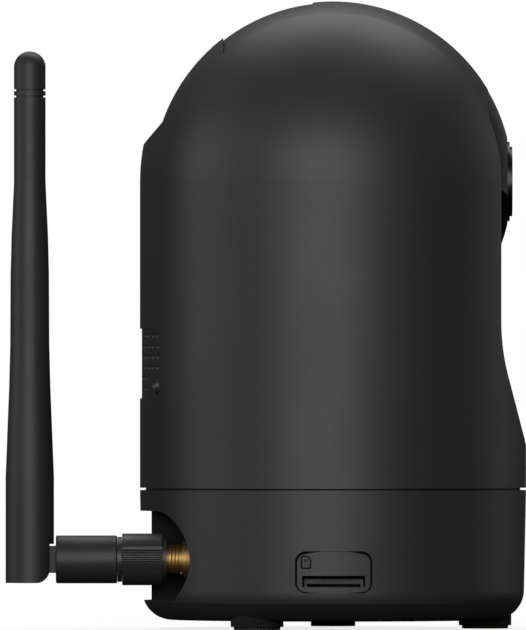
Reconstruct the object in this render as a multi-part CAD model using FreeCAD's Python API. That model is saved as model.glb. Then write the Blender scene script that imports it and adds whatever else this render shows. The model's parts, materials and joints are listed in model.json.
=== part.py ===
import FreeCAD, Part
import math
import os
from FreeCAD import Vector

# A pan-and-tilt security camera: a round base with a folding rod antenna, a turning housing and a
# ball-shaped head. Millimetres. The origin is on the pan axis at floor level, +X is where the lens
# looks, +Z is up, and the antenna stands behind the base on the -Y side.

# ---- body
BODY_R = 40.8              # radius of the round body
TILT_Z = 94.4              # height of the ball's centre, which is the tilt axis
HOUSING_WALL = 2.2
FACET_R = BODY_R - 5.45    # reach of the facet that runs over the front, the top and the back
FACET_BOTTOM = 65.0        # height where the straight front starts to flare out
FLARE_R = 46.0             # radius of the flare under the front
FLARE_ANGLE = 15.0         # slope of the flare's foot, from the vertical
REAR_ANGLE = 139.0         # where the top arc runs out into the rear slope, from +X through +Z
SLOT_HALF = 16.4           # half-width of the slot that shows the ball
FASCIA_ARM_ANGLE = 52.0    # how far the fascia's arms reach over the top
SEAM = 0.1                 # open seam between outer covers
FASCIA_INSET = 0.9         # how far the fascia's edge lies inside the edge of the facet

# ---- base
BASE_TOP = 29.2
BASE_FLOOR = 1.85          # underside of the base's floor
BASE_LOW_R = BODY_R - 0.45 # radius where the drafted wall meets the bottom round
BASE_ROUND = 6.3
BASE_WALL = 2.0
DECK_T = 2.2
DECK_LIP_R = BODY_R - 1.2  # flange of the deck that lies on the rim of the base
DECK_LIP_T = 0.25
HOUSING_BOTTOM = 29.75
TURNTABLE_T = 2.25
TURNTABLE_R = BODY_R - HOUSING_WALL - 0.2
POST_R = 11.0              # fixed post that the housing turns on
POST_BORE_R = 6.0
GROOVE_R = BODY_R - 9.3    # dust ring of the deck, in a groove of the turntable
GROOVE_W = 1.0
GROOVE_H = 1.05

# ---- clearances
RUN = 0.05                 # radial running clearance of a shaft in its hole
FREE = 0.3                 # open clearance between parts that pass each other
BALL_GAP = 0.4             # gap between the ball and the housing around it

# ---- feet, screws and the tripod thread
FOOT_PITCH_R = BODY_R - 8.7
FOOT_R = 4.9
FOOT_T = 1.6
FOOT_BOSS_R = 5.55
FOOT_BOSS_Z = 0.68
FOOT_ANGLES = (0.0, 120.0, 240.0)
TRIPOD_R = 3.175           # 1/4 inch camera thread
TRIPOD_DEPTH = 7.0
TRIPOD_Z = 0.5
INSERT_R = 4.2
INSERT_H = 8.0
TRIPOD_BOSS_R = 4.7
SCREW_R = 1.0
SCREW_HEAD_R = 2.0
SCREW_HEAD_T = 1.2
LONG_SCREW_R = 1.25
LONG_SCREW_HEAD_R = 2.5
LONG_SCREW_HEAD_T = 1.6
COLUMN_R = 3.3

# ---- rear recess of the base and its sockets
RECESS_Y = 16.9            # sockets stand this far each side of the middle
RECESS_Z = 14.85
RECESS_R = 10.04
RECESS_LOW = 5.98          # flat underside of the recess
RECESS_X = 10.6 - BODY_R   # floor of the recess
RECESS_WALL = 1.6
SOCKET_Z = 14.75
BLOCK_HALF = 10.3          # block between the two pockets that holds the network socket
BLOCK_X = 2.5 - BODY_R

# ---- circuit board and what stands on it
BOARD_Z = 7.4
BOARD_T = 1.6
BOARD_R = BODY_R - BASE_WALL - 1.2
STANDOFF_PITCH_R = 26.0
STANDOFF_ANGLES = (45.0, -45.0, 115.0, -115.0)
STANDOFF_R = 2.6
NET_W = 16.0
NET_H = 13.4
NET_L = 21.3
NET_PORT_W = 11.9
NET_PORT_H = 6.9
NET_PORT_L = 13.5
NET_FLOOR = 2.9            # port's floor above the socket's underside
NET_LATCH_W = 6.4
NET_LATCH_H = 2.0
NET_CONTACTS = 8
NET_CONTACT_PITCH = 1.02
CARD_Z = 12.3
CARD_PANEL_W = 16.2
CARD_PANEL_H = 8.8
CARD_PANEL_ROUND = 2.15
CARD_PANEL_DEPTH = 0.4
CARD_SLOT_W = 13.2
CARD_SLOT_H = 2.37
CARD_SLOT_Z = 10.35
CARD_SLOT_ROUND = 0.15
CARD_W = 11.0
CARD_SOCKET_W = 12.4
CARD_SOCKET_L = 15.0
CARD_SOCKET_H = 1.85
CARD_MOUTH_LOW = 0.1       # card mouth, from the socket's underside
CARD_MOUTH_H = 0.75
POWER_NOSE_R = 4.6
POWER_NOSE_L = 2.8
POWER_PLUG_R = 2.75
POWER_PIN_R = 1.05
POWER_L = 12.0

# ---- gears
MODULE = 0.8
PRESSURE_ANGLE = 20.0
ADDENDUM = 0.8             # stub teeth, in modules
DEDENDUM = 1.1
BACKLASH = 0.25
PAN_TEETH = 44
TILT_TEETH = 24
PINION_TEETH = 12
PAN_GEAR_T = 4.0
TILT_GEAR_T = 3.0
GEAR_SPIGOT_R = 8.5
TILT_SPIGOT_R = 3.9

# ---- motors: (can radius, can length, shaft offset, ear spacing half)
PAN_MOTOR = (12.0, 17.0, 8.0, 17.5)
PAN_CAN_X = 19.0
TILT_MOTOR = (10.0, 15.0, 6.0, 13.0)
TILT_SHAFT_ANGLE = 215.0
EAR_R = 3.2
EAR_T = 0.8
SHAFT_R = 2.0

# ---- yoke and tilt pivots
YOKE_Y = 20.4              # inner faces of the two uprights
YOKE_T = 2.0
YOKE_TOP_R = 8.5
YOKE_FOOT_HALF = 12.0
YOKE_FOOT_L = 8.6
PIVOT_R = 5.0
PIVOT_BORE_R = 3.2
PIVOT_FLANGE_R = 7.5
PIVOT_FLANGE_T = 1.6
BUSH_R = 6.5

# ---- head
BALL_R = 38.05             # front shell
BAND_R = BALL_R - 0.3      # recessed band behind it
BALL_REAR_R = BALL_R + 0.15
BALL_WALL = 2.0
BALL_HALF = 19.8           # the ball is cut flat this far each side
BAND_FRONT_X = -4.3
BAND_REAR_X = -23.2
FACE_X = 32.75
FACE_R = BALL_R - 0.1      # sphere that the face plate belongs to
FACE_FRONT_X = 36.8
FACE_WALL = 1.6
FACE_SPIGOT_R = 17.3
CHASSIS_R = BAND_R - BALL_WALL - 6.25
CHASSIS_T = 2.0
SENSOR_X = 22.0
SENSOR_HALF = 12.0
LED_BOARD_X = 28.1
LED_PITCH_R = 12.2
LED_R = 1.5
LEDS = 8
LENS_R = 6.0
LENS_TIP_X = 36.3
BEZEL_STEPS = ((8.4, 37.3), (7.35, 37.85))

# ---- rear grille and reset button
GRILLE_HALF = 18.0
GRILLE_LOW = 48.6
GRILLE_HIGH = 63.3
GRILLE_ROUND = 3.0
GRILLE_DEPTH = 0.4
GRILLE_HOLE_R = 0.65
GRILLE_ROW_TOP = 61.7
GRILLE_PITCH_Z = 2.23
GRILLE_PITCH_Y = 2.34
GRILLE_ROWS = (15, 15, 15, 15, 9, 9)
BUTTON_Y = -15.4
BUTTON_Z = 51.3
BUTTON_R = 1.7
BUTTON_STROKE = 0.5
REAR_BOARD_X = 11.3 - BODY_R
REAR_BOARD_HALF = 19.2
SPEAKER_R = 11.5
SPEAKER_Y = 2.5
SPEAKER_Z = 55.8

# ---- antenna
THREAD_R = 3.175
JACK_TIP_X = 0.6 - BODY_R
JACK_FLANGE_T = 1.5
JACK_HEX = 8.0             # across the flats
INSULATOR_R = 2.05
JACK_PIN_R = 0.64
NUT_R = 5.45
NUT_MOUTH_R = 4.5
NUT_FRONT_X = JACK_TIP_X + 4.2
NUT_MOUTH_X = JACK_TIP_X + 5.1
NUT_REAR_X = JACK_TIP_X - 4.25
THREAD_GRIP = 2.8          # length of thread inside the nut
NUT_RIB_ANGLE = 5.0        # pitch of the finger ribs, which come in three patches
NUT_PATCH_RIBS = 10
NUT_PATCHES = (60.0, 180.0, 300.0)
NUT_RIB_DEPTH = 0.25
NUT_RELIEF = 0.4           # room round the thread past its grip
NUT_LIP = 1.0              # rear lip that draws the plug in
PLUG_R = 4.3
PLUG_PIN_R = 0.46
NECK_R = 4.75
NECK_T = 1.05
BARREL_R = 5.05
BARREL_L = 12.9
TAIL_R = 3.0
TONGUE_H = 5.7
TONGUE_T = 3.0
ELBOW_REACH = 5.5          # from the barrel's end face to the elbow axis
ELBOW_PIN_R = 1.1
ELBOW_PIN_HALF = 4.4       # half-length of the pin, which goes in from the +Y side
MAST_LOW = 9.8
MAST_TOP = 121.7
MAST_TRIM = 4.15
MAST_TRIM_TOP = 18.0
MAST_CORNER = 2.75
MAST_BORE_R = 1.6
GROOVE_ZS = (112.2, 113.5)
CAP_Z = 114.2

# ---- worked out from the sizes above
BARREL_X0 = NUT_REAR_X - NECK_T
BARREL_X1 = BARREL_X0 - BARREL_L
ELBOW_X = BARREL_X1 - ELBOW_REACH
DECK_TOP = BASE_TOP + DECK_LIP_T
DECK_UNDER = BASE_TOP - DECK_T
TURNTABLE_TOP = HOUSING_BOTTOM + TURNTABLE_T
PAN_GEAR_Z = TURNTABLE_TOP + FREE
PAN_MOTOR_Z = PAN_GEAR_Z + PAN_GEAR_T + 2.0
BALL_CUT_R = BALL_REAR_R + BALL_GAP
BOARD_TOP = BOARD_Z + BOARD_T
INNER_R = BODY_R - HOUSING_WALL
CENTRE = Vector(0, 0, TILT_Z)
BIG = 2 * BODY_R


# ------------------------------------------------------------------ helpers
def box(x0, x1, y0, y1, z0, z1):
    return Part.makeBox(x1 - x0, y1 - y0, z1 - z0, Vector(x0, y0, z0))


def rod(radius, start, end):
    """A cylinder between two points."""
    a = Vector(*start)
    along = Vector(*end) - a
    return Part.makeCylinder(radius, along.Length, a, along)


def pipe(outer, inner, start, end):
    return rod(outer, start, end).cut(rod(inner, start, end))


def polar(radius, degrees):
    angle = math.radians(degrees)
    return radius * math.cos(angle), radius * math.sin(angle)


def outline(start, *steps):
    """A closed wire of (x, z) points. A step is a point, or a (via, to) pair for an arc."""
    edges = []
    here = Vector(start[0], 0, start[1])
    for step in steps:
        if isinstance(step[0], tuple):
            via, to = (Vector(p[0], 0, p[1]) for p in step)
            edges.append(Part.Arc(here, via, to).toShape())
        else:
            to = Vector(step[0], 0, step[1])
            edges.append(Part.makeLine(here, to))
        here = to
    first = Vector(start[0], 0, start[1])
    if here.distanceToPoint(first) > 1e-6:
        edges.append(Part.makeLine(here, first))
    return Part.Wire(edges)


def lathe_z(wire, x=0, y=0):
    """Turn an (x, z) outline about the vertical line through x, y."""
    solid = Part.Face(wire).revolve(Vector(0, 0, 0), Vector(0, 0, 1), 360)
    solid.translate(Vector(x, y, 0))
    return solid


def lathe_x(steps, z):
    """Turn (x, radius) points about the line along X at height z."""
    wire = Part.makePolygon([Vector(x, 0, r) for x, r in steps] + [Vector(steps[0][0], 0, steps[0][1])])
    solid = Part.Face(wire).revolve(Vector(0, 0, 0), Vector(1, 0, 0), 360)
    solid.translate(Vector(0, 0, z))
    return solid


def slab(wire, half):
    """Push an (x, z) outline out to y = -half and y = +half."""
    face = Part.Face(wire)
    face.translate(Vector(0, -half, 0))
    return face.extrude(Vector(0, 2 * half, 0))


def rounded_plate(w, h, radius, centre, along):
    """A rounded w x h plate, with h along Z, pushed out along X or Y."""
    side = Vector(0, 0, 1).cross(along)
    side.normalize()
    half_w = w / 2 - radius
    half_h = h / 2 - radius
    solid = None
    for u in (-half_w, half_w):
        for v in (-half_h, half_h):
            at = centre + side * u + Vector(0, 0, v)
            corner = Part.makeCylinder(radius, along.Length, at, along)
            solid = corner if solid is None else solid.fuse(corner)
    for a, b in ((w / 2, half_h), (half_w, h / 2)):
        ring = [centre + side * (a * i) + Vector(0, 0, b * j) for i, j in ((-1, -1), (1, -1), (1, 1), (-1, 1))]
        solid = solid.fuse(Part.Face(Part.makePolygon(ring + ring[:1])).extrude(along))
    return solid.removeSplitter()


def cable(radius, bend, *points):
    """A round cable of straight runs joined by tangent arcs."""
    path = [Vector(*p) for p in points]
    edges = []
    here = path[0]
    for before, corner, after in zip(path, path[1:], path[2:]):
        arriving = (corner - before).normalize()
        leaving = (after - corner).normalize()
        turn = arriving.getAngle(leaving)
        reach = bend * math.tan(turn / 2)
        start = corner - arriving * reach
        end = corner + leaving * reach
        inward = (leaving - arriving).normalize()
        middle = corner + inward * (bend / math.cos(turn / 2) - bend)
        edges.append(Part.makeLine(here, start))
        edges.append(Part.Arc(start, middle, end).toShape())
        here = end
    edges.append(Part.makeLine(here, path[-1]))
    first = (path[1] - path[0]).normalize()
    section = Part.Wire([Part.makeCircle(radius, path[0], first)])
    return Part.Wire(edges).makePipeShell([section], True, False)


def screw(radius, head_r, head_t, head_from, head_to, tip):
    """A screw: its head between two points and its shank on to the tip."""
    body = rod(head_r, head_from, head_to).fuse(rod(radius, head_to, tip))
    return body.cut(rod(radius * 0.6, head_from, [a + (b - a) * 0.5 for a, b in zip(head_from, head_to)]))


def involute(angle):
    return math.tan(angle) - angle


def gear(teeth, width, tooth_at):
    """An involute gear about +Z, with one tooth centred at the given angle in degrees."""
    pitch_r = MODULE * teeth / 2
    base_r = pitch_r * math.cos(math.radians(PRESSURE_ANGLE))
    tip_r = pitch_r + ADDENDUM * MODULE
    root_r = pitch_r - DEDENDUM * MODULE
    half = (math.pi * MODULE / 2 - BACKLASH / 2) / (2 * pitch_r)
    half += involute(math.radians(PRESSURE_ANGLE))
    low_r = max(base_r, root_r) + 0.02
    flank = []
    for i in range(5):
        radius = low_r + (tip_r - low_r) * i / 4
        flank.append((radius, half - involute(math.acos(base_r / radius))))
    if root_r < low_r:
        flank.insert(0, (root_r, flank[0][1]))

    def place(radius, angle):
        return Vector(radius * math.cos(angle), radius * math.sin(angle), 0)

    points = []
    for i in range(teeth):
        middle = math.radians(tooth_at) + 2 * math.pi * i / teeth
        points += [place(r, middle - a) for r, a in flank]
        points += [place(r, middle + a) for r, a in reversed(flank)]
    return Part.Face(Part.makePolygon(points + points[:1])).extrude(Vector(0, 0, width))


def across(solid, x, y, z):
    """Lay a solid made about +Z on the Y axis, running from y towards -Y."""
    solid.rotate(Vector(0, 0, 0), Vector(1, 0, 0), 90)
    solid.translate(Vector(x, y, z))
    return solid


def fused(pieces):
    solid = pieces[0]
    for piece in pieces[1:]:
        solid = solid.fuse(piece)
    return solid.removeSplitter()


def group(pieces):
    return Part.makeCompound(pieces)


# ------------------------------------------------------------------ base
def base_solid(inset):
    """The base's outside, or the same shape set in all round and open at the top."""
    round_r = BASE_ROUND - inset
    round_x = BASE_LOW_R - BASE_ROUND
    round_z = BASE_FLOOR + BASE_ROUND
    via = polar(round_r, -45)
    top = BASE_TOP + (1 if inset else 0)
    wire = outline(
        (0, BASE_FLOOR + inset),
        (round_x, BASE_FLOOR + inset),
        ((round_x + via[0], round_z + via[1]), (BASE_LOW_R - inset, round_z)),
        (BODY_R - inset, top),
        (0, top))
    return lathe_z(wire)


def foot_places():
    return [polar(FOOT_PITCH_R, angle) for angle in FOOT_ANGLES]


def recess_prism(grow, x0, x1):
    """The stadium-shaped rear recess with its flat underside."""
    low = RECESS_LOW - grow
    radius = RECESS_R + grow
    shape = box(x0, x1, -RECESS_Y, RECESS_Y, low, RECESS_Z + radius)
    for side in (-RECESS_Y, RECESS_Y):
        shape = shape.fuse(rod(radius, (x0, side, RECESS_Z), (x1, side, RECESS_Z)))
    keep = box(x0, x1, -BIG, BIG, low, BIG)
    return shape.common(keep).removeSplitter()


def screw_seat_z():
    """Height of the step that a base screw's head bears on."""
    return FOOT_T + LONG_SCREW_HEAD_T


def column_low():
    return screw_seat_z() + 2.4


def base_shell():
    shell = base_solid(0).cut(base_solid(BASE_WALL))
    inside_floor = BASE_FLOOR + BASE_WALL
    for x, y in foot_places():
        shell = shell.fuse(rod(FOOT_BOSS_R, (x, y, FOOT_BOSS_Z), (x, y, inside_floor)))
        shell = shell.fuse(rod(COLUMN_R + 1, (x, y, BASE_FLOOR), (x, y, column_low())))
        shell = shell.cut(rod(FOOT_R, (x, y, 0), (x, y, FOOT_T)))
        shell = shell.cut(rod(LONG_SCREW_HEAD_R, (x, y, 0), (x, y, screw_seat_z())))
        shell = shell.cut(rod(LONG_SCREW_R, (x, y, 0), (x, y, column_low() + 1)))
    boss_top = TRIPOD_Z + INSERT_H
    shell = shell.fuse(rod(TRIPOD_BOSS_R, (0, 0, TRIPOD_Z), (0, 0, inside_floor)))
    shell = shell.fuse(rod(INSERT_R + 1.6, (0, 0, BASE_FLOOR), (0, 0, boss_top)))
    shell = shell.cut(rod(INSERT_R, (0, 0, 0), (0, 0, boss_top + 1)))
    for x, y in (polar(STANDOFF_PITCH_R, a) for a in STANDOFF_ANGLES):
        shell = shell.fuse(rod(STANDOFF_R, (x, y, BASE_FLOOR + 0.5), (x, y, BOARD_Z)))
        shell = shell.cut(rod(SCREW_R, (x, y, BASE_FLOOR + 1), (x, y, BOARD_Z + 1)))
    back_x = RECESS_X + RECESS_WALL
    pocket = recess_prism(RECESS_WALL, -BODY_R, back_x).common(base_solid(0))
    shell = shell.fuse(pocket).cut(recess_prism(0, -BODY_R - 5, RECESS_X))
    block = box(BLOCK_X, back_x, -BLOCK_HALF, BLOCK_HALF, RECESS_LOW - RECESS_WALL, RECESS_Z + RECESS_R + RECESS_WALL)
    shell = shell.fuse(block.common(base_solid(0)).common(recess_prism(RECESS_WALL, -BODY_R, back_x)))
    fit = 0.1
    window = box(-BIG, back_x + 1, -NET_W / 2 - fit, NET_W / 2 + fit, BOARD_TOP - fit, BOARD_TOP + NET_H + fit)
    shell = shell.cut(window)
    for side, radius in ((-RECESS_Y, THREAD_R + RUN), (RECESS_Y, POWER_NOSE_R + RUN)):
        shell = shell.cut(rod(radius, (RECESS_X - 1, side, SOCKET_Z), (back_x + 1, side, SOCKET_Z)))
    reach = Vector(0, 12, 0)
    panel = rounded_plate(CARD_PANEL_W, CARD_PANEL_H, CARD_PANEL_ROUND, Vector(0, -BODY_R - 1, CARD_Z), reach)
    shell = shell.cut(panel.cut(base_solid(CARD_PANEL_DEPTH)))
    slot = rounded_plate(CARD_SLOT_W, CARD_SLOT_H, CARD_SLOT_ROUND, Vector(0, -BODY_R - 1, CARD_SLOT_Z), Vector(0, 5, 0))
    return shell.cut(slot).removeSplitter()


def base_deck():
    """Lid of the base, with the screw columns below it and the fixed pan post above it."""
    bearing = bearing_seat()
    ring_top = DECK_TOP + GROOVE_H
    spigot_top = PAN_GEAR_Z + PAN_GEAR_T + 1.2
    wire = outline(
        (POST_BORE_R, DECK_UNDER),
        (BODY_R - BASE_WALL - 0.2, DECK_UNDER),
        (BODY_R - BASE_WALL - 0.2, BASE_TOP),
        (DECK_LIP_R, BASE_TOP),
        (DECK_LIP_R, DECK_TOP),
        (GROOVE_R + GROOVE_W / 2, DECK_TOP),
        (GROOVE_R + GROOVE_W / 2, ring_top),
        (GROOVE_R - GROOVE_W / 2, ring_top),
        (GROOVE_R - GROOVE_W / 2, DECK_TOP),
        (bearing[1], DECK_TOP),
        (bearing[1], bearing[2]),
        (bearing[0], bearing[2]),
        (bearing[0], DECK_TOP),
        (POST_R, DECK_TOP),
        (POST_R, PAN_GEAR_Z),
        (GEAR_SPIGOT_R, PAN_GEAR_Z),
        (GEAR_SPIGOT_R, spigot_top),
        (POST_BORE_R, spigot_top))
    deck = lathe_z(wire)
    for x, y in foot_places():
        deck = deck.fuse(rod(COLUMN_R, (x, y, column_low()), (x, y, DECK_UNDER + 0.5)))
        deck = deck.cut(rod(LONG_SCREW_R, (x, y, 0), (x, y, column_low() + 10)))
    return deck.removeSplitter()


def bearing_seat():
    """Inner radius, outer radius and floor height of the bearing's seat in the deck."""
    return POST_R + 1.5, POST_R + 6.0, DECK_TOP - 0.8


def pan_bearing():
    inner, outer, floor = bearing_seat()
    return pipe(outer - RUN, inner + RUN, (0, 0, floor), (0, 0, HOUSING_BOTTOM - RUN))


def pan_gear():
    at = math.degrees(math.atan2(pan_shaft()[1], pan_shaft()[0]))
    wheel = gear(PAN_TEETH, PAN_GEAR_T, at)
    wheel.translate(Vector(0, 0, PAN_GEAR_Z))
    return wheel.cut(rod(GEAR_SPIGOT_R, (0, 0, 0), (0, 0, BIG)))


def pan_gear_clip():
    low = PAN_GEAR_Z + PAN_GEAR_T
    ring = pipe(GEAR_SPIGOT_R + 2.5, GEAR_SPIGOT_R + RUN, (0, 0, low), (0, 0, low + 0.8))
    return ring.cut(box(0, BIG, -2, 2, low - 1, low + 2))


def base_screws():
    pieces = []
    for x, y in foot_places():
        seat = screw_seat_z()
        head_low = seat - LONG_SCREW_HEAD_T
        pieces.append(screw(LONG_SCREW_R, LONG_SCREW_HEAD_R, LONG_SCREW_HEAD_T,
                            (x, y, head_low), (x, y, seat), (x, y, column_low() + 9)))
    for x, y in (polar(STANDOFF_PITCH_R, a) for a in STANDOFF_ANGLES):
        pieces.append(screw(SCREW_R, SCREW_HEAD_R, SCREW_HEAD_T,
                            (x, y, BOARD_TOP + SCREW_HEAD_T), (x, y, BOARD_TOP), (x, y, BASE_FLOOR + 1.5)))
    return group(pieces)


def rubber_feet():
    pads = []
    for x, y in foot_places():
        pad = rod(FOOT_R, (x, y, 0), (x, y, FOOT_T))
        pads.append(pad.makeFillet(0.3, [e for e in pad.Edges if e.BoundBox.ZMax < 0.01]))
    return group(pads)


def tripod_insert():
    body = rod(INSERT_R, (0, 0, TRIPOD_Z), (0, 0, TRIPOD_Z + INSERT_H))
    return body.cut(rod(TRIPOD_R, (0, 0, TRIPOD_Z - 1), (0, 0, TRIPOD_Z + TRIPOD_DEPTH)))


def base_board():
    board = rod(BOARD_R, (0, 0, BOARD_Z), (0, 0, BOARD_TOP))
    clear = 0.4
    board = board.cut(box(-BIG, RECESS_X + RECESS_WALL + clear, -BIG, BIG, 0, BIG))
    board = board.cut(rod(INSERT_R + 1.6 + clear, (0, 0, 0), (0, 0, BIG)))
    for x, y in foot_places():
        board = board.cut(rod(COLUMN_R + clear, (x, y, 0), (x, y, BIG)))
    for x, y in (polar(STANDOFF_PITCH_R, a) for a in STANDOFF_ANGLES):
        board = board.cut(rod(SCREW_R, (x, y, 0), (x, y, BIG)))
    return board


def net_port():
    """Corners of the network port's cavity: x0, x1, half-width, z0, z1."""
    x0 = BLOCK_X + 0.2
    z0 = BOARD_TOP + NET_FLOOR
    return x0, x0 + NET_PORT_L, NET_PORT_W / 2, z0, z0 + NET_PORT_H


def ethernet_jack():
    x0, x1, half, z0, z1 = net_port()
    body = box(x0, x0 + NET_L, -NET_W / 2, NET_W / 2, BOARD_TOP, BOARD_TOP + NET_H)
    body = body.cut(box(x0 - 1, x1, -half, half, z0, z1))
    return body.cut(box(x0 - 1, x1, -NET_LATCH_W / 2, NET_LATCH_W / 2, z1 - 1, z1 + NET_LATCH_H))


def ethernet_contacts():
    x0, x1, _, z0, _ = net_port()
    bars = []
    for i in range(NET_CONTACTS):
        y = (i - (NET_CONTACTS - 1) / 2) * NET_CONTACT_PITCH
        bars.append(box(x0 + 2.5, x1, y - 0.23, y + 0.23, z0, z0 + 0.7))
    return group(bars)


def power_jack():
    back_x = RECESS_X + RECESS_WALL
    body = box(back_x, back_x + POWER_L, RECESS_Y - 4.6, RECESS_Y + 4.6, BOARD_TOP, 2 * SOCKET_Z - BOARD_TOP)
    nose_x = RECESS_X - POWER_NOSE_L
    body = body.fuse(rod(POWER_NOSE_R, (nose_x, RECESS_Y, SOCKET_Z), (back_x + 0.5, RECESS_Y, SOCKET_Z)))
    return body.cut(rod(POWER_PLUG_R + 0.3, (nose_x - 1, RECESS_Y, SOCKET_Z), (back_x + 8, RECESS_Y, SOCKET_Z)))


def power_pin():
    floor_x = RECESS_X + RECESS_WALL + 8
    return rod(POWER_PIN_R, (floor_x, RECESS_Y, SOCKET_Z), (RECESS_X - 1.5, RECESS_Y, SOCKET_Z))


def card_socket():
    front_y = -math.sqrt(BOARD_R ** 2 - (CARD_SOCKET_W / 2) ** 2) + 0.1
    half = CARD_SOCKET_W / 2
    body = box(-half, half, front_y, front_y + CARD_SOCKET_L, BOARD_TOP, BOARD_TOP + CARD_SOCKET_H)
    mouth_z = BOARD_TOP + CARD_MOUTH_LOW
    mouth_half = CARD_W / 2 + FREE / 2
    mouth = box(-mouth_half, mouth_half, front_y - 1, front_y + CARD_SOCKET_L - 1, mouth_z, mouth_z + CARD_MOUTH_H)
    return body.cut(mouth)


def hexagon(across_flats, x0, x1, y, z):
    """A hexagonal prism along X."""
    radius = across_flats / math.sqrt(3)
    ring = []
    for i in range(7):
        v, w = polar(radius, 60 * i)
        ring.append(Vector(x0, y + v, z + w))
    return Part.Face(Part.makePolygon(ring)).extrude(Vector(x1 - x0, 0, 0))


def antenna_jack():
    y, z = -RECESS_Y, SOCKET_Z
    back_x = RECESS_X + RECESS_WALL
    body = fused([
        hexagon(JACK_HEX, RECESS_X - JACK_FLANGE_T, RECESS_X, y, z),
        rod(THREAD_R, (JACK_TIP_X, y, z), (back_x, y, z)),
        hexagon(JACK_HEX, back_x, back_x + 1.8, y, z),
        rod(1.6, (back_x + 1, y, z), (back_x + 4, y, z))])
    body = body.cut(rod(INSULATOR_R, (JACK_TIP_X - 1, y, z), (back_x, y, z)))
    return body


def antenna_insulator():
    y, z = -RECESS_Y, SOCKET_Z
    body = rod(INSULATOR_R, (JACK_TIP_X + 0.6, y, z), (RECESS_X + RECESS_WALL, y, z))
    return body.cut(rod(JACK_PIN_R, (JACK_TIP_X - 1, y, z), (JACK_TIP_X + 6, y, z)))


def antenna_lead():
    y, z = -RECESS_Y, SOCKET_Z
    start = RECESS_X + RECESS_WALL + 4
    return cable(0.6, 2.4, (start, y, z), (start + 5.5, y, z), (start + 5.5, y, BOARD_TOP))


def harness_top():
    return PAN_GEAR_Z + PAN_GEAR_T + 3.5


def pan_harness():
    low = TRIPOD_Z + INSERT_H + 3.4
    return cable(2.2, 4.5, (14.0, 0, BOARD_TOP), (14.0, 0, low + 2.6), (0, 0, low + 2.6), (0, 0, harness_top()))


# ------------------------------------------------------------------ turning housing
def facet_profile(inset):
    """Side outline of the housing: straight front with a flared foot, arc top and rear slope."""
    reach = FACET_R - inset
    middle = polar(reach, REAR_ANGLE / 2)
    end = polar(reach, REAR_ANGLE)
    slope = math.radians(REAR_ANGLE)
    far = (end[0] - BIG * math.sin(slope), end[1] + BIG * math.cos(slope))
    flare_x = FACET_R + FLARE_R
    flare_mid = polar(FLARE_R + inset, 180 + FLARE_ANGLE / 2)
    flare_end = polar(FLARE_R + inset, 180 + FLARE_ANGLE)
    foot_x = flare_x + flare_end[0] + (FACET_BOTTOM + flare_end[1]) * math.tan(math.radians(FLARE_ANGLE))
    return outline(
        (reach, TILT_Z),
        ((middle[0], TILT_Z + middle[1]), (end[0], TILT_Z + end[1])),
        (far[0], TILT_Z + far[1]),
        (far[0], 0),
        (foot_x, 0),
        (flare_x + flare_end[0], FACET_BOTTOM + flare_end[1]),
        ((flare_x + flare_mid[0], FACET_BOTTOM + flare_mid[1]), (reach, FACET_BOTTOM)))


def body_solid(inset, low):
    """The housing's outside, or the same shape set in all round."""
    radius = BODY_R - inset
    via = polar(radius, 45)
    wire = outline(
        (0, low),
        (radius, low),
        (radius, TILT_Z),
        ((via[0], TILT_Z + via[1]), (0, TILT_Z + radius)))
    return lathe_z(wire).common(slab(facet_profile(inset), BIG))


def ball_slot():
    """The slot over the front and top that shows the ball, with round ends."""
    ring = [(0, TILT_Z)]
    for angle in (0, REAR_ANGLE / 3, 2 * REAR_ANGLE / 3, REAR_ANGLE):
        x, z = polar(BIG, angle)
        ring.append((x, TILT_Z + z))
    cut = slab(outline(*ring), SLOT_HALF)
    for angle in (0, REAR_ANGLE):
        x, z = polar(BIG, angle)
        cut = cut.fuse(rod(SLOT_HALF, (0, 0, TILT_Z), (x, 0, TILT_Z + z)))
    return cut


def fascia_half(z, seam):
    """Half-width of the fascia at a height: it follows the edge of the facet."""
    slope = math.radians(FLARE_ANGLE)
    knee_z = FACET_BOTTOM - FLARE_R * math.sin(slope)
    if z >= FACET_BOTTOM:
        reach = FACET_R
    elif z >= knee_z:
        reach = FACET_R + FLARE_R - math.sqrt(FLARE_R ** 2 - (FACET_BOTTOM - z) ** 2)
    else:
        reach = FACET_R + FLARE_R * (1 - math.cos(slope)) + (knee_z - z) * math.tan(slope)
    return math.sqrt(max(BODY_R ** 2 - reach ** 2, 0)) - FASCIA_INSET - seam


def fascia_low():
    """Height where the flare's foot meets the round body."""
    slope = math.radians(FLARE_ANGLE)
    knee_z = FACET_BOTTOM - FLARE_R * math.sin(slope)
    knee_x = FACET_R + FLARE_R * (1 - math.cos(slope))
    return knee_z - (BODY_R - knee_x) / math.tan(slope)


def fascia_region(seam):
    """The space that the front fascia fills."""
    low = fascia_low() + FASCIA_INSET + seam
    steps = 10
    side = []
    for i in range(steps + 1):
        z = low + (FACET_BOTTOM - low) * i / steps
        side.append(Vector(FACET_R / 3, fascia_half(z, seam), z))
    curve = Part.BSplineCurve()
    curve.interpolate([Vector(p.x, -p.y, p.z) for p in reversed(side)] + [Vector(side[0].x, 0, low - 0.3)] + side)
    top = Vector(side[-1].x, side[-1].y, TILT_Z + BODY_R)
    other = Vector(top.x, -top.y, top.z)
    start = Vector(side[-1].x, -side[-1].y, side[-1].z)
    wire = Part.Wire([
        curve.toShape(),
        Part.makeLine(side[-1], top),
        Part.makeLine(top, other),
        Part.makeLine(other, start)])
    region = Part.Face(wire).extrude(Vector(BIG, 0, 0))
    tip = polar(BIG, FASCIA_ARM_ANGLE - math.degrees(seam / FACET_R))
    wedge = slab(outline((0, TILT_Z), (tip[0], TILT_Z + tip[1]), (BIG, TILT_Z), (BIG, 0), (0, 0)), BIG)
    return region.common(wedge)


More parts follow.
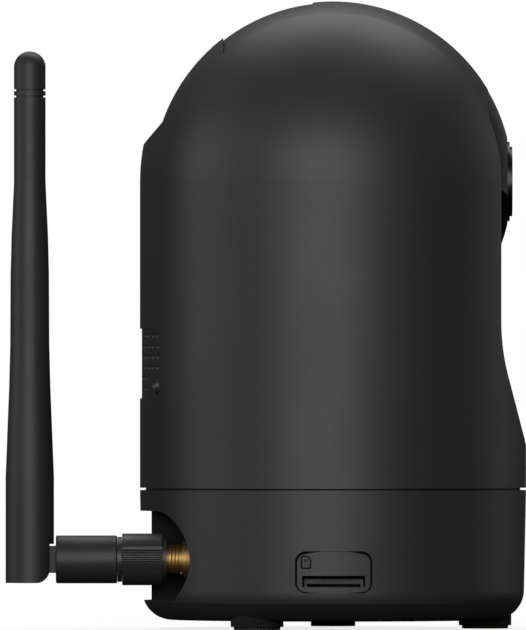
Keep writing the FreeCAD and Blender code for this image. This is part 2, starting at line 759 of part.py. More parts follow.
def cover_solid():
    """Housing shell and fascia as one skin, before they are parted at the seam."""
    skin = body_solid(0, HOUSING_BOTTOM).cut(body_solid(HOUSING_WALL, HOUSING_BOTTOM - 1))
    ball = Part.makeSphere(BALL_CUT_R, CENTRE)
    keep = BALL_HALF + FREE
    ball = ball.common(box(-BIG, BIG, -keep, keep, 0, 2 * BIG))
    return skin.cut(ball).cut(ball_slot())


def shell_screw_places():
    return [polar(BODY_R - 5.0, angle) for angle in (60, 180, 300)]


def housing_shell(skin):
    shell = skin.cut(fascia_region(0))
    for x, y in shell_screw_places():
        boss = rod(3.2, (x, y, TURNTABLE_TOP), (x, y, TURNTABLE_TOP + 9))
        shell = shell.fuse(boss.common(body_solid(HOUSING_WALL / 2, TURNTABLE_TOP)))
        shell = shell.cut(rod(SCREW_R, (x, y, TURNTABLE_TOP - 1), (x, y, TURNTABLE_TOP + 7)))
    return shell.cut(grille_prism()).removeSplitter()


def front_fascia(skin):
    return skin.common(fascia_region(SEAM))


def grille_prism():
    height = GRILLE_HIGH - GRILLE_LOW
    centre = Vector(-BODY_R - 1, 0, (GRILLE_HIGH + GRILLE_LOW) / 2)
    return rounded_plate(2 * GRILLE_HALF, height, GRILLE_ROUND, centre, Vector(14, 0, 0))


def button_seat_x():
    """Inner end of the boss that guides the reset button."""
    return -math.sqrt((INNER_R - 0.2) ** 2 - (abs(BUTTON_Y) + 2.6) ** 2) + 0.3


def speaker_grille():
    ring = pipe(BODY_R - GRILLE_DEPTH, INNER_R, (0, 0, GRILLE_LOW - 1), (0, 0, GRILLE_HIGH + 1))
    panel = ring.common(grille_prism())
    boss = rod(2.6, (-BODY_R, BUTTON_Y, BUTTON_Z), (button_seat_x(), BUTTON_Y, BUTTON_Z))
    inside = rod(BODY_R - GRILLE_DEPTH - 0.5, (0, 0, 0), (0, 0, BIG))
    panel = panel.fuse(boss.common(inside))
    cuts = [rod(BUTTON_R + 0.1, (-BIG, BUTTON_Y, BUTTON_Z), (button_seat_x() + 1, BUTTON_Y, BUTTON_Z))]
    for row, count in enumerate(GRILLE_ROWS):
        z = GRILLE_ROW_TOP - row * GRILLE_PITCH_Z
        for i in range(count):
            y = (i - (count - 1) / 2) * GRILLE_PITCH_Y
            cuts.append(rod(GRILLE_HOLE_R, (-BODY_R - 1, y, z), (-INNER_R + 8, y, z)))
    return panel.cut(cuts)


def turntable():
    inner = POST_R + RUN
    groove_in = GROOVE_R - GROOVE_W / 2 - FREE
    groove_out = GROOVE_R + GROOVE_W / 2 + FREE
    groove_top = DECK_TOP + GROOVE_H + FREE
    wire = outline(
        (inner, HOUSING_BOTTOM),
        (groove_in, HOUSING_BOTTOM),
        (groove_in, groove_top),
        (groove_out, groove_top),
        (groove_out, HOUSING_BOTTOM),
        (TURNTABLE_R, HOUSING_BOTTOM),
        (TURNTABLE_R, TURNTABLE_TOP),
        (inner, TURNTABLE_TOP))
    disc = lathe_z(wire)
    for side in (-1, 1):
        y = side * PAN_MOTOR[3]
        post = rod(2.6, (PAN_CAN_X, y, TURNTABLE_TOP - 0.5), (PAN_CAN_X, y, PAN_MOTOR_Z))
        disc = disc.fuse(post).cut(rod(SCREW_R, (PAN_CAN_X, y, PAN_MOTOR_Z - 5), (PAN_CAN_X, y, PAN_MOTOR_Z + 1)))
        near, far = sorted((side * (REAR_BOARD_HALF - 1.2), side * (REAR_BOARD_HALF + 2.0)))
        guide = box(REAR_BOARD_X - 1.8, REAR_BOARD_X + BOARD_T + 1.8, near, far, TURNTABLE_TOP - 0.5, GRILLE_HIGH - 1)
        disc = disc.fuse(guide)
        near, far = sorted((0, side * REAR_BOARD_HALF))
        disc = disc.cut(box(REAR_BOARD_X, REAR_BOARD_X + BOARD_T, near, far, TURNTABLE_TOP, BIG))
    for x, y in shell_screw_places():
        disc = disc.cut(rod(SCREW_R, (x, y, 0), (x, y, BIG)))
        disc = disc.cut(rod(SCREW_HEAD_R, (x, y, 0), (x, y, HOUSING_BOTTOM + SCREW_HEAD_T)))
    for x, y in yoke_screw_places():
        disc = disc.cut(rod(SCREW_R, (x, y, yoke_screw_tip()), (x, y, BIG)))
    return disc.removeSplitter()


def yoke_screw_places():
    out = YOKE_Y + YOKE_FOOT_L - 3
    return [(x, y) for x in (-8, 8) for y in (-out, out)]


def yoke_screw_tip():
    return HOUSING_BOTTOM + 0.8


def yoke(side):
    """One upright, standing on the turntable, that carries a tilt pivot."""
    foot_top = TURNTABLE_TOP + YOKE_T
    plate = slab(outline(
        (-YOKE_FOOT_HALF, TURNTABLE_TOP),
        (YOKE_FOOT_HALF, TURNTABLE_TOP),
        (YOKE_TOP_R, TILT_Z),
        (-YOKE_TOP_R, TILT_Z)), YOKE_T / 2)
    plate.translate(Vector(0, side * (YOKE_Y + YOKE_T / 2), 0))
    near = side * YOKE_Y
    far = side * (YOKE_Y + YOKE_T)
    out = side * (YOKE_Y + YOKE_FOOT_L)
    low, high = sorted((near, out))
    foot = box(-YOKE_FOOT_HALF, YOKE_FOOT_HALF, low, high, TURNTABLE_TOP, foot_top)
    web = Part.Face(Part.makePolygon([
        Vector(-1, far, foot_top), Vector(-1, out, foot_top), Vector(-1, far, foot_top + 14), Vector(-1, far, foot_top)
    ])).extrude(Vector(2, 0, 0))
    body = plate.fuse([rod(YOKE_TOP_R, (0, near, TILT_Z), (0, far, TILT_Z)), foot, web])
    body = body.cut(rod(PIVOT_R, (0, near - side, TILT_Z), (0, far + side, TILT_Z)))
    for x, y in yoke_screw_places():
        body = body.cut(rod(SCREW_R, (x, y, 0), (x, y, foot_top + 1)))
    return body.removeSplitter()


def housing_screws():
    pieces = []
    for x, y in shell_screw_places():
        seat = HOUSING_BOTTOM + SCREW_HEAD_T
        pieces.append(screw(SCREW_R, SCREW_HEAD_R, SCREW_HEAD_T,
                            (x, y, HOUSING_BOTTOM), (x, y, seat), (x, y, TURNTABLE_TOP + 6)))
    foot_top = TURNTABLE_TOP + YOKE_T
    for x, y in yoke_screw_places():
        pieces.append(screw(SCREW_R, SCREW_HEAD_R, SCREW_HEAD_T,
                            (x, y, foot_top + SCREW_HEAD_T), (x, y, foot_top), (x, y, yoke_screw_tip())))
    ear_top = PAN_MOTOR_Z + EAR_T
    for y in (-PAN_MOTOR[3], PAN_MOTOR[3]):
        pieces.append(screw(SCREW_R, SCREW_HEAD_R, SCREW_HEAD_T,
                            (PAN_CAN_X, y, ear_top + SCREW_HEAD_T), (PAN_CAN_X, y, ear_top),
                            (PAN_CAN_X, y, PAN_MOTOR_Z - 4.5)))
    return group(pieces)


def pan_shaft():
    """Where the pan motor's shaft stands, on the pitch circle's centre distance from the axis."""
    distance = MODULE * (PAN_TEETH + PINION_TEETH) / 2
    x = (distance ** 2 + PAN_CAN_X ** 2 - PAN_MOTOR[2] ** 2) / (2 * PAN_CAN_X)
    return x, math.sqrt(distance ** 2 - x ** 2)


def motor_can(motor, shaft):
    """A small geared stepper with its can on +Z, ears along Y and a bush round the shaft."""
    can_r, can_l, _, ear = motor
    body = rod(can_r, (0, 0, 0), (0, 0, can_l))
    body = body.fuse(box(-EAR_R, EAR_R, -ear, ear, 0, EAR_T))
    for y in (-ear, ear):
        body = body.fuse(rod(EAR_R, (0, y, 0), (0, y, EAR_T)))
        body = body.cut(rod(SCREW_R, (0, y, -1), (0, y, EAR_T + 1)))
    body = body.fuse(box(-can_r - 2.5, -can_r + 2, -5, 5, 2, can_l - 3))
    body = body.fuse(rod(SHAFT_R + 1.5, (shaft[0], shaft[1], -1.4), (shaft[0], shaft[1], 1)))
    return body.cut(rod(SHAFT_R + RUN, (shaft[0], shaft[1], -3), (shaft[0], shaft[1], 6))).removeSplitter()


def pan_motor():
    x, y = pan_shaft()
    body = motor_can(PAN_MOTOR, (x - PAN_CAN_X, y))
    body.translate(Vector(PAN_CAN_X, 0, PAN_MOTOR_Z))
    return body


def pan_pinion():
    x, y = pan_shaft()
    at = math.degrees(math.atan2(y, x)) + 180 + 180 / PINION_TEETH
    wheel = gear(PINION_TEETH, PAN_GEAR_T, at)
    wheel.translate(Vector(x, y, PAN_GEAR_Z))
    return wheel.fuse(rod(SHAFT_R, (x, y, PAN_GEAR_Z), (x, y, PAN_MOTOR_Z + 5.5)))


def rear_board():
    return box(REAR_BOARD_X, REAR_BOARD_X + BOARD_T, -REAR_BOARD_HALF, REAR_BOARD_HALF, TURNTABLE_TOP, GRILLE_HIGH)


def speaker():
    frame = rod(SPEAKER_R, (REAR_BOARD_X - 6.2, SPEAKER_Y, SPEAKER_Z), (REAR_BOARD_X - 3.4, SPEAKER_Y, SPEAKER_Z))
    dish = Part.makeCone(SPEAKER_R - 1.5, 3.0, 1.8, Vector(REAR_BOARD_X - 6.2, SPEAKER_Y, SPEAKER_Z), Vector(1, 0, 0))
    magnet = rod(7.0, (REAR_BOARD_X - 3.4, SPEAKER_Y, SPEAKER_Z), (REAR_BOARD_X, SPEAKER_Y, SPEAKER_Z))
    return frame.cut(dish).fuse(magnet)


def button_inner_x():
    return button_seat_x() + FREE + 0.6


def reset_button():
    face_x = -math.sqrt((BODY_R - GRILLE_DEPTH) ** 2 - BUTTON_Y ** 2) - 0.1
    inner = button_inner_x()
    cap = rod(BUTTON_R, (face_x, BUTTON_Y, BUTTON_Z), (inner, BUTTON_Y, BUTTON_Z))
    return cap.fuse(rod(2.3, (inner - 0.6, BUTTON_Y, BUTTON_Z), (inner, BUTTON_Y, BUTTON_Z)))


def reset_switch():
    tip = button_inner_x() + BUTTON_STROKE + 0.1
    body = box(REAR_BOARD_X - 2.4, REAR_BOARD_X, BUTTON_Y - 1.6, BUTTON_Y + 2.6, BUTTON_Z - 2.1, BUTTON_Z + 2.1)
    return body.fuse(rod(1.0, (tip, BUTTON_Y, BUTTON_Z), (REAR_BOARD_X - 1, BUTTON_Y, BUTTON_Z)))


def housing_harness():
    """The feed from the base to the rear board, and the lead from there to the left pivot."""
    board = REAR_BOARD_X + BOARD_T
    feed = cable(2.0, 4.5, (0, 0, harness_top()), (0, 0, 46.5), (board, 0, 46.5))
    y = -(YOKE_Y + YOKE_T + 4.6)
    lead = cable(1.5, 4.0, (board, -10, 42), (-19, -10, 42), (-19, y, 42), (0, y, 60), (0, y, TILT_Z), (0, -9, TILT_Z))
    return group([feed, lead])


def pivot(side):
    """Hollow pivot pin, fixed in the yoke and turning in the head's bush."""
    far = YOKE_Y + YOKE_T
    inner = BALL_HALF - CHASSIS_T - 3.8
    steps = [(inner, PIVOT_R), (far, PIVOT_R), (far, PIVOT_FLANGE_R), (far + PIVOT_FLANGE_T, PIVOT_FLANGE_R),
             (far + PIVOT_FLANGE_T, PIVOT_BORE_R)]
    if side > 0:
        tip = tilt_gear_y() - TILT_GEAR_T
        steps = [(tip, TILT_SPIGOT_R), (tilt_gear_y(), TILT_SPIGOT_R), (tilt_gear_y(), PIVOT_R)] + steps[1:]
        steps.append((tip, PIVOT_BORE_R))
    else:
        steps.append((inner, PIVOT_BORE_R))
    ring = [Vector(radius, 0, along) for along, radius in steps]
    pin = Part.Face(Part.makePolygon(ring + ring[:1])).revolve(Vector(0, 0, 0), Vector(0, 0, 1), 360)
    pin.rotate(Vector(0, 0, 0), Vector(1, 0, 0), -90 * side)
    pin.translate(CENTRE)
    return pin


def tilt_gear_y():
    """Outer face of the fixed tilt gear."""
    return BALL_HALF - CHASSIS_T - 4.8


def tilt_gear():
    wheel = gear(TILT_TEETH, TILT_GEAR_T, TILT_SHAFT_ANGLE)
    wheel = wheel.cut(rod(TILT_SPIGOT_R, (0, 0, -1), (0, 0, TILT_GEAR_T + 1)))
    return across(wheel, 0, tilt_gear_y(), TILT_Z)


# ------------------------------------------------------------------ head
def ball_zone(radius, x0, x1):
    """A spherical skin between two planes across the lens axis, cut flat at both sides."""
    skin = Part.makeSphere(radius, CENTRE).cut(Part.makeSphere(radius - BALL_WALL, CENTRE))
    return skin.common(box(x0, x1, -BALL_HALF, BALL_HALF, 0, 2 * BIG))


def shell_boss_angles():
    return {"front": (60.0, -60.0), "rear": (140.0, -140.0)}


def shell_bosses(which, clip_r):
    """Ribs with screw bosses that join a ball shell to the chassis discs."""
    ribs = []
    disc = BALL_HALF - CHASSIS_T
    for angle in shell_boss_angles()[which]:
        x, z = polar(CHASSIS_R - 3.4, angle)
        for side in (-1, 1):
            start = (x, side * (disc - 5), TILT_Z + z)
            end = (x, side * disc, TILT_Z + z)
            near, far = sorted((start[1], end[1]))
            rib = box(CHASSIS_R - 3.4, BIG, near, far, -0.8, 0.8)
            rib.rotate(Vector(0, 0, 0), Vector(0, 1, 0), -angle)
            rib.translate(CENTRE)
            ribs.append(fused([rib, rod(2.4, start, end)]).common(Part.makeSphere(clip_r, CENTRE)))
    return ribs


def shell_boss_holes(which):
    """Pilot holes in the bosses of one ball shell."""
    disc = BALL_HALF - CHASSIS_T
    holes = []
    for angle in shell_boss_angles()[which]:
        x, z = polar(CHASSIS_R - 3.4, angle)
        for side in (-1, 1):
            holes.append(rod(SCREW_R, (x, side * (disc - 4), TILT_Z + z), (x, side * BIG, TILT_Z + z)))
    return holes


def head_front_shell():
    shell = ball_zone(BALL_R, BAND_FRONT_X, FACE_X)
    shell = shell.fuse(shell_bosses("front", BALL_R - BALL_WALL / 2))
    return shell.cut(shell_boss_holes("front") + [rod(FACE_SPIGOT_R, (0, 0, TILT_Z), (BIG, 0, TILT_Z))])


def head_band():
    return ball_zone(BAND_R, BAND_REAR_X, BAND_FRONT_X)


def head_rear_shell():
    shell = ball_zone(BALL_REAR_R, -BIG, BAND_REAR_X)
    shell = shell.fuse(shell_bosses("rear", BALL_REAR_R - BALL_WALL / 2))
    return shell.cut(shell_boss_holes("rear"))


def tilt_places():
    """Centres of the tilt shaft, the can and the ears, as (x, z) from the tilt axis."""
    distance = MODULE * (TILT_TEETH + PINION_TEETH) / 2
    shaft = polar(distance, TILT_SHAFT_ANGLE)
    can = (shaft[0], shaft[1] - TILT_MOTOR[2])
    ears = [(can[0] + i * TILT_MOTOR[3], can[1]) for i in (-1, 1)]
    return shaft, can, ears


def tilt_motor_y():
    """Mounting face of the tilt motor."""
    return tilt_gear_y() - TILT_GEAR_T - 2.0


def head_chassis():
    disc_in = BALL_HALF - CHASSIS_T
    pieces = []
    for side in (-1, 1):
        pieces.append(rod(CHASSIS_R, (0, side * disc_in, TILT_Z), (0, side * BALL_HALF, TILT_Z)))
        pieces.append(rod(BUSH_R + 2.0, (0, side * (disc_in - 3.5), TILT_Z), (0, side * BALL_HALF, TILT_Z)))
    for z in (-10.0, 10.0):
        pieces.append(box(SENSOR_X - 3.5, SENSOR_X, -disc_in, disc_in, TILT_Z + z - 1.5, TILT_Z + z + 1.5))
    pieces.append(rod(2.2, (-8, -disc_in, TILT_Z + 22), (-8, disc_in, TILT_Z + 22)))
    for x, z in tilt_places()[2]:
        pieces.append(rod(2.4, (x, tilt_motor_y(), TILT_Z + z), (x, disc_in, TILT_Z + z)))
    body = fused(pieces)
    body = body.cut(rod(BUSH_R, (0, -BIG, TILT_Z), (0, BIG, TILT_Z)))
    cuts = []
    for x, z in tilt_places()[2]:
        cuts.append(rod(SCREW_R, (x, tilt_motor_y() - 1, TILT_Z + z), (x, tilt_motor_y() + 5, TILT_Z + z)))
    for which in ("front", "rear"):
        cuts += shell_boss_holes(which)
    for angle in shell_boss_angles()["front"] + shell_boss_angles()["rear"]:
        x, z = polar(CHASSIS_R - 3.4, angle)
        for side in (-1, 1):
            seat = BALL_HALF - SCREW_HEAD_T
            cuts.append(rod(SCREW_HEAD_R, (x, side * seat, TILT_Z + z), (x, side * BIG, TILT_Z + z)))
    return body.cut(cuts)


def pivot_bushes():
    rings = []
    for side in (-1, 1):
        start = side * (BALL_HALF - CHASSIS_T - 3.5)
        ring = pipe(BUSH_R, PIVOT_R + RUN, (0, start, TILT_Z), (0, side * BALL_HALF, TILT_Z))
        lip = pipe(BUSH_R + 1.5, PIVOT_R + RUN, (0, side * BALL_HALF, TILT_Z), (0, side * (BALL_HALF + 0.35), TILT_Z))
        rings.append(fused([ring, lip]))
    return group(rings)


def face_plate():
    plate = Part.makeSphere(FACE_R, CENTRE).common(box(FACE_X, FACE_FRONT_X, -BIG, BIG, 0, 2 * BIG))
    hollow = Part.makeSphere(FACE_R - FACE_WALL, CENTRE)
    plate = plate.cut(hollow.common(box(0, FACE_FRONT_X - FACE_WALL, -BIG, BIG, 0, 2 * BIG)))
    hollow_r = math.sqrt((FACE_R - FACE_WALL) ** 2 - FACE_X ** 2)
    spigot = pipe(FACE_SPIGOT_R - 0.1, hollow_r, (LED_BOARD_X + BOARD_T, 0, TILT_Z), (FACE_X, 0, TILT_Z))
    return plate.fuse(spigot).cut(rod(LENS_R + 0.2, (0, 0, TILT_Z), (BIG, 0, TILT_Z))).removeSplitter()


def lens_bezel():
    (outer, mid_x), (inner, tip_x) = BEZEL_STEPS
    steps = [(FACE_FRONT_X, outer), (mid_x, outer), (mid_x, inner), (tip_x, inner),
             (tip_x, inner - 0.9), (FACE_FRONT_X, LENS_R + 0.2)]
    return lathe_x(steps, TILT_Z)


def lens_barrel():
    start = SENSOR_X + BOARD_T + 4
    body = rod(LENS_R, (start, 0, TILT_Z), (LENS_TIP_X, 0, TILT_Z))
    return body.cut(rod(LENS_R - 1.0, (LENS_TIP_X - 1.5, 0, TILT_Z), (BIG, 0, TILT_Z)))


def lens_glass():
    dome_r = 9.0
    sagitta = dome_r - math.sqrt(dome_r ** 2 - (LENS_R - 1.0) ** 2)
    dome = Part.makeSphere(dome_r, Vector(LENS_TIP_X + 0.9 - dome_r, 0, TILT_Z))
    edge = LENS_TIP_X + 0.9 - sagitta
    body = rod(LENS_R - 1.0, (LENS_TIP_X - 1.5, 0, TILT_Z), (edge + 3, 0, TILT_Z))
    return body.common(dome)


def lens_holder():
    back = SENSOR_X + BOARD_T
    body = box(back, back + 4, -7, 7, TILT_Z - 7, TILT_Z + 7)
    collar = pipe(LENS_R + 1.6, LENS_R, (back + 4, 0, TILT_Z), (back + 6.5, 0, TILT_Z))
    return body.fuse(collar)


def sensor_board():
    return box(SENSOR_X, SENSOR_X + BOARD_T, -SENSOR_HALF, SENSOR_HALF, TILT_Z - SENSOR_HALF, TILT_Z + SENSOR_HALF)


def led_board():
    return pipe(FACE_SPIGOT_R - 0.2, LENS_R + 2.2, (LED_BOARD_X, 0, TILT_Z), (LED_BOARD_X + BOARD_T, 0, TILT_Z))


def ir_leds():
    lamps = []
    x = LED_BOARD_X + BOARD_T
    for i in range(LEDS):
        y, z = polar(LED_PITCH_R, 360 * (i + 0.5) / LEDS)
        stem = rod(LED_R, (x, y, TILT_Z + z), (x + LED_R, y, TILT_Z + z))
        lamps.append(stem.fuse(Part.makeSphere(LED_R, Vector(x + LED_R, y, TILT_Z + z))))
    return group(lamps)


def tilt_motor():
    """The can hangs on -Y of its mounting face, with the ears along X."""
    can = tilt_places()[1]
    body = motor_can(TILT_MOTOR, (TILT_MOTOR[2], 0))
    body.rotate(Vector(0, 0, 0), Vector(0, 0, 1), 90)
    return across(body, can[0], tilt_motor_y(), TILT_Z + can[1])


def tilt_pinion():
    shaft = tilt_places()[0]
    wheel = gear(PINION_TEETH, TILT_GEAR_T, TILT_SHAFT_ANGLE + 180 + 180 / PINION_TEETH)
    wheel = across(wheel, shaft[0], tilt_gear_y(), TILT_Z + shaft[1])
    tip = tilt_motor_y() - 5.5
    return wheel.fuse(rod(SHAFT_R, (shaft[0], tip, TILT_Z + shaft[1]), (shaft[0], tilt_gear_y(), TILT_Z + shaft[1])))


def head_lead():
    return cable(1.5, 4.0, (0, -9, TILT_Z), (0, -2, TILT_Z), (SENSOR_X, -2, TILT_Z))


def head_screws():
    pieces = []
    for angle in shell_boss_angles()["front"] + shell_boss_angles()["rear"]:
        x, z = polar(CHASSIS_R - 3.4, angle)
        for side in (-1, 1):
            top = side * BALL_HALF
            seat = side * (BALL_HALF - SCREW_HEAD_T)
            tip = side * (BALL_HALF - CHASSIS_T - 3.5)
            pieces.append(screw(SCREW_R, SCREW_HEAD_R, SCREW_HEAD_T,
                                (x, top, TILT_Z + z), (x, seat, TILT_Z + z), (x, tip, TILT_Z + z)))
    ear = tilt_motor_y() - EAR_T
    for x, z in tilt_places()[2]:
        pieces.append(screw(SCREW_R, SCREW_HEAD_R, SCREW_HEAD_T,
                            (x, ear - SCREW_HEAD_T, TILT_Z + z), (x, ear, TILT_Z + z),
                            (x, tilt_motor_y() + 4.5, TILT_Z + z)))
    return group(pieces)


# ------------------------------------------------------------------ antenna
def antenna_plug():
    """Coupling body: shoulder inside the nut, neck ring, and a tail that the barrel turns on."""
    y, z = -RECESS_Y, SOCKET_Z
    front = JACK_TIP_X - 0.8
    body = fused([
        rod(PLUG_R, (front, y, z), (NUT_REAR_X, y, z)),
        rod(NECK_R, (NUT_REAR_X - RUN, y, z), (BARREL_X0 + RUN, y, z)),
        rod(TAIL_R, (NUT_REAR_X, y, z), (BARREL_X1 + 3.5, y, z))])
    return body.cut(rod(PLUG_PIN_R, (front + 1, y, z), (front - 3, y, z)))


def antenna_contact():
    y, z = -RECESS_Y, SOCKET_Z
    return rod(PLUG_PIN_R, (JACK_TIP_X - 3.8, y, z), (JACK_TIP_X + 3, y, z))


def nut_outline():
    """Cross-section of the nut: patches of finger ribs, and plain round between them."""
    points = []
    for step in range(round(360 / NUT_RIB_ANGLE)):
        angle = step * NUT_RIB_ANGLE
        ribbed = any(0 <= angle - (middle - NUT_PATCH_RIBS * NUT_RIB_ANGLE / 2) < NUT_PATCH_RIBS * NUT_RIB_ANGLE
                     for middle in NUT_PATCHES)
        if ribbed:
            points.append(polar(NUT_R - NUT_RIB_DEPTH, angle))
            points.append(polar(NUT_R, angle + 0.3 * NUT_RIB_ANGLE))
            points.append(polar(NUT_R, angle + 0.7 * NUT_RIB_ANGLE))
        else:
            points.append(polar(NUT_R, angle))
    return points


def antenna_nut():
    y, z = -RECESS_Y, SOCKET_Z
    ring = [Vector(NUT_FRONT_X, y + v, z + w) for v, w in nut_outline()]
    body = Part.Face(Part.makePolygon(ring + ring[:1])).extrude(Vector(NUT_REAR_X - NUT_FRONT_X, 0, 0))
    body = body.fuse(rod(NUT_MOUTH_R, (NUT_MOUTH_X, y, z), (NUT_FRONT_X - 1, y, z)))
    grip = NUT_MOUTH_X - THREAD_GRIP
    body = body.cut(rod(THREAD_R + RUN, (NUT_MOUTH_X + 1, y, z), (grip - 0.1, y, z)))
    body = body.cut(rod(THREAD_R + NUT_RELIEF, (grip, y, z), (JACK_TIP_X - 0.5, y, z)))
    return body.cut(rod(PLUG_R + RUN, (JACK_TIP_X - 0.5, y, z), (NUT_REAR_X - NUT_LIP, y, z)))


def antenna_barrel():
    y, z = -RECESS_Y, SOCKET_Z
    body = rod(BARREL_R, (BARREL_X0, y, z), (BARREL_X1, y, z))
    body = body.makeFillet(0.35, [e for e in body.Edges if e.Length > BARREL_R * 6])
    half = TONGUE_H / 2
    tongue = box(ELBOW_X, BARREL_X1 + 1, y - TONGUE_T / 2, y + TONGUE_T / 2, z - half, z + half)
    eye = rod(half, (ELBOW_X, y - TONGUE_T / 2, z), (ELBOW_X, y + TONGUE_T / 2, z))
    body = body.fuse([tongue, eye])
    body = body.cut(rod(ELBOW_PIN_R, (ELBOW_X, y - BIG, z), (ELBOW_X, y + BIG, z)))
    return body.cut(rod(TAIL_R + RUN, (BARREL_X0 + 1, y, z), (BARREL_X1 + 3.3, y, z)))


def elbow_pin():
    y, z = -RECESS_Y, SOCKET_Z
    return rod(ELBOW_PIN_R, (ELBOW_X, y - ELBOW_PIN_HALF, z), (ELBOW_X, y + ELBOW_PIN_HALF, z))


def mast_profile():
    """Half outline of the mast, from its foot up: (radius, height)."""
    return [(5.1, MAST_LOW), (5.1, 32.2), (4.75, 41), (4.35, 51), (4.12, 60), (4.05, 75), (3.85, 83),
            (3.5, 90.5), (3.33, 94.3)]


def mast_solid():
    tip_r = mast_profile()[-1][0]
    dome_r = (tip_r ** 2 + 9.0) / 6.0
    via_z = MAST_TOP - dome_r + math.sqrt(dome_r ** 2 - (tip_r / 2) ** 2)
    body = lathe_z(outline(
        (0, MAST_LOW), *mast_profile(), (tip_r, MAST_TOP - 3.0), ((tip_r / 2, via_z), (0, MAST_TOP))))
    for z in GROOVE_ZS:
        body = body.cut(pipe(2 * tip_r, tip_r - 0.45, (0, 0, z - 0.18), (0, 0, z + 0.18)))
    return body


def antenna_mast():
    x, y, z = ELBOW_X, -RECESS_Y, SOCKET_Z
    body = mast_solid().common(box(-BIG, BIG, -BIG, BIG, 0, CAP_Z))
    trim = box(MAST_TRIM, BIG, -BIG, BIG, 0, MAST_TRIM_TOP)
    corner = box(MAST_TRIM - MAST_CORNER, BIG, -BIG, BIG, 0, MAST_LOW + MAST_CORNER)
    keep = rod(MAST_CORNER, (MAST_TRIM - MAST_CORNER, -BIG, MAST_LOW + MAST_CORNER),
               (MAST_TRIM - MAST_CORNER, BIG, MAST_LOW + MAST_CORNER))
    gap = TONGUE_T / 2 + 0.15
    room = TONGUE_H / 2 + 0.15
    fork = box(-room, BIG, -gap, gap, 0, z + room)
    bore = rod(MAST_BORE_R, (0, 0, z + room + 4), (0, 0, CAP_Z + 1))
    body = body.cut([trim, corner.cut(keep), fork, bore])
    body.translate(Vector(x, y, 0))
    return body.cut(rod(ELBOW_PIN_R + RUN, (x, y - ELBOW_PIN_HALF - RUN, z), (x, y + BIG, z)))


def antenna_cap():
    cap = mast_solid().common(box(-BIG, BIG, -BIG, BIG, CAP_Z, BIG * 2))
    cap.translate(Vector(ELBOW_X, -RECESS_Y, 0))
    return cap


def antenna_element():
    low = SOCKET_Z + TONGUE_H / 2 + 0.15 + 4
    start = (ELBOW_X, -RECESS_Y, low)
    return rod(MAST_BORE_R, start, (ELBOW_X, -RECESS_Y, CAP_Z - 6)).fuse(
        rod(MAST_BORE_R / 2, start, (ELBOW_X, -RECESS_Y, CAP_Z)))


# ------------------------------------------------------------------ all pieces
def pieces():
    skin = cover_solid()
    yield "base_shell", base_shell()
    yield "base_deck", base_deck()
    yield "base_screws", base_screws()
    yield "rubber_feet", rubber_feet()
    yield "tripod_insert", tripod_insert()
    yield "base_board", base_board()
    yield "ethernet_jack", ethernet_jack()
    yield "ethernet_contacts", ethernet_contacts()
    yield "power_jack", power_jack()
    yield "power_pin", power_pin()
    yield "card_socket", card_socket()
    yield "antenna_jack", antenna_jack()
    yield "antenna_insulator", antenna_insulator()
    yield "antenna_lead", antenna_lead()
    yield "pan_bearing", pan_bearing()
    yield "pan_gear", pan_gear()
    yield "pan_gear_clip", pan_gear_clip()
    yield "pan_harness", pan_harness()
    yield "housing_shell", housing_shell(skin)
    yield "front_fascia", front_fascia(skin)
    yield "speaker_grille", speaker_grille()
    yield "turntable", turntable()
    yield "yoke_left", yoke(1)
    yield "yoke_right", yoke(-1)
    yield "housing_screws", housing_screws()
    yield "pan_motor", pan_motor()
    yield "pan_pinion", pan_pinion()
    yield "rear_board", rear_board()
    yield "speaker", speaker()
    yield "reset_button", reset_button()
    yield "reset_switch", reset_switch()
    yield "housing_harness", housing_harness()
    yield "pivot_left", pivot(1)
    yield "pivot_right", pivot(-1)
    yield "tilt_gear", tilt_gear()
    yield "head_front_shell", head_front_shell()
    yield "head_band", head_band()
    yield "head_rear_shell", head_rear_shell()
    yield "head_chassis", head_chassis()
    yield "pivot_bushes", pivot_bushes()
    yield "face_plate", face_plate()
    yield "lens_bezel", lens_bezel()
    yield "lens_barrel", lens_barrel()
    yield "lens_glass", lens_glass()
    yield "lens_holder", lens_holder()
    yield "sensor_board", sensor_board()
    yield "led_board", led_board()
    yield "ir_leds", ir_leds()
    yield "tilt_motor", tilt_motor()
    yield "tilt_pinion", tilt_pinion()
    yield "head_lead", head_lead()
    yield "head_screws", head_screws()
    yield "antenna_plug", antenna_plug()
    yield "antenna_contact", antenna_contact()
    yield "antenna_nut", antenna_nut()
    yield "antenna_barrel", antenna_barrel()
    yield "elbow_pin", elbow_pin()
    yield "antenna_mast", antenna_mast()
    yield "antenna_cap", antenna_cap()
    yield "antenna_element", antenna_element()


os.makedirs("parts", exist_ok=True)
for name, shape in pieces():
    shape.exportStep("parts/" + name + ".step")
    state = "ok" if shape.isValid() else "INVALID"
    print(name, len(shape.Solids), round(shape.Volume, 1), state)
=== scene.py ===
import json
import math

import bmesh
import bpy
from mathutils import Matrix, Vector


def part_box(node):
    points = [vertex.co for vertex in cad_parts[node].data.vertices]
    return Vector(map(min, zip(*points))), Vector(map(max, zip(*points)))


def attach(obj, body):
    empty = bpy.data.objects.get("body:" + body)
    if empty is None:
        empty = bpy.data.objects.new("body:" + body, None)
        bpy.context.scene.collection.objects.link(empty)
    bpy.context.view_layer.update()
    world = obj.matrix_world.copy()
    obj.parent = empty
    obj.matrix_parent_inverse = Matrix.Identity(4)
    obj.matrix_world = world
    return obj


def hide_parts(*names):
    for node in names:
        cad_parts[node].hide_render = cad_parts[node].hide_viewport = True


# A pan-and-tilt security camera: black moulded housing on a round base, a ball head behind a slot,
# and a folding rod antenna on a gold-plated threaded socket. Metres, in the frame of the CAD model.

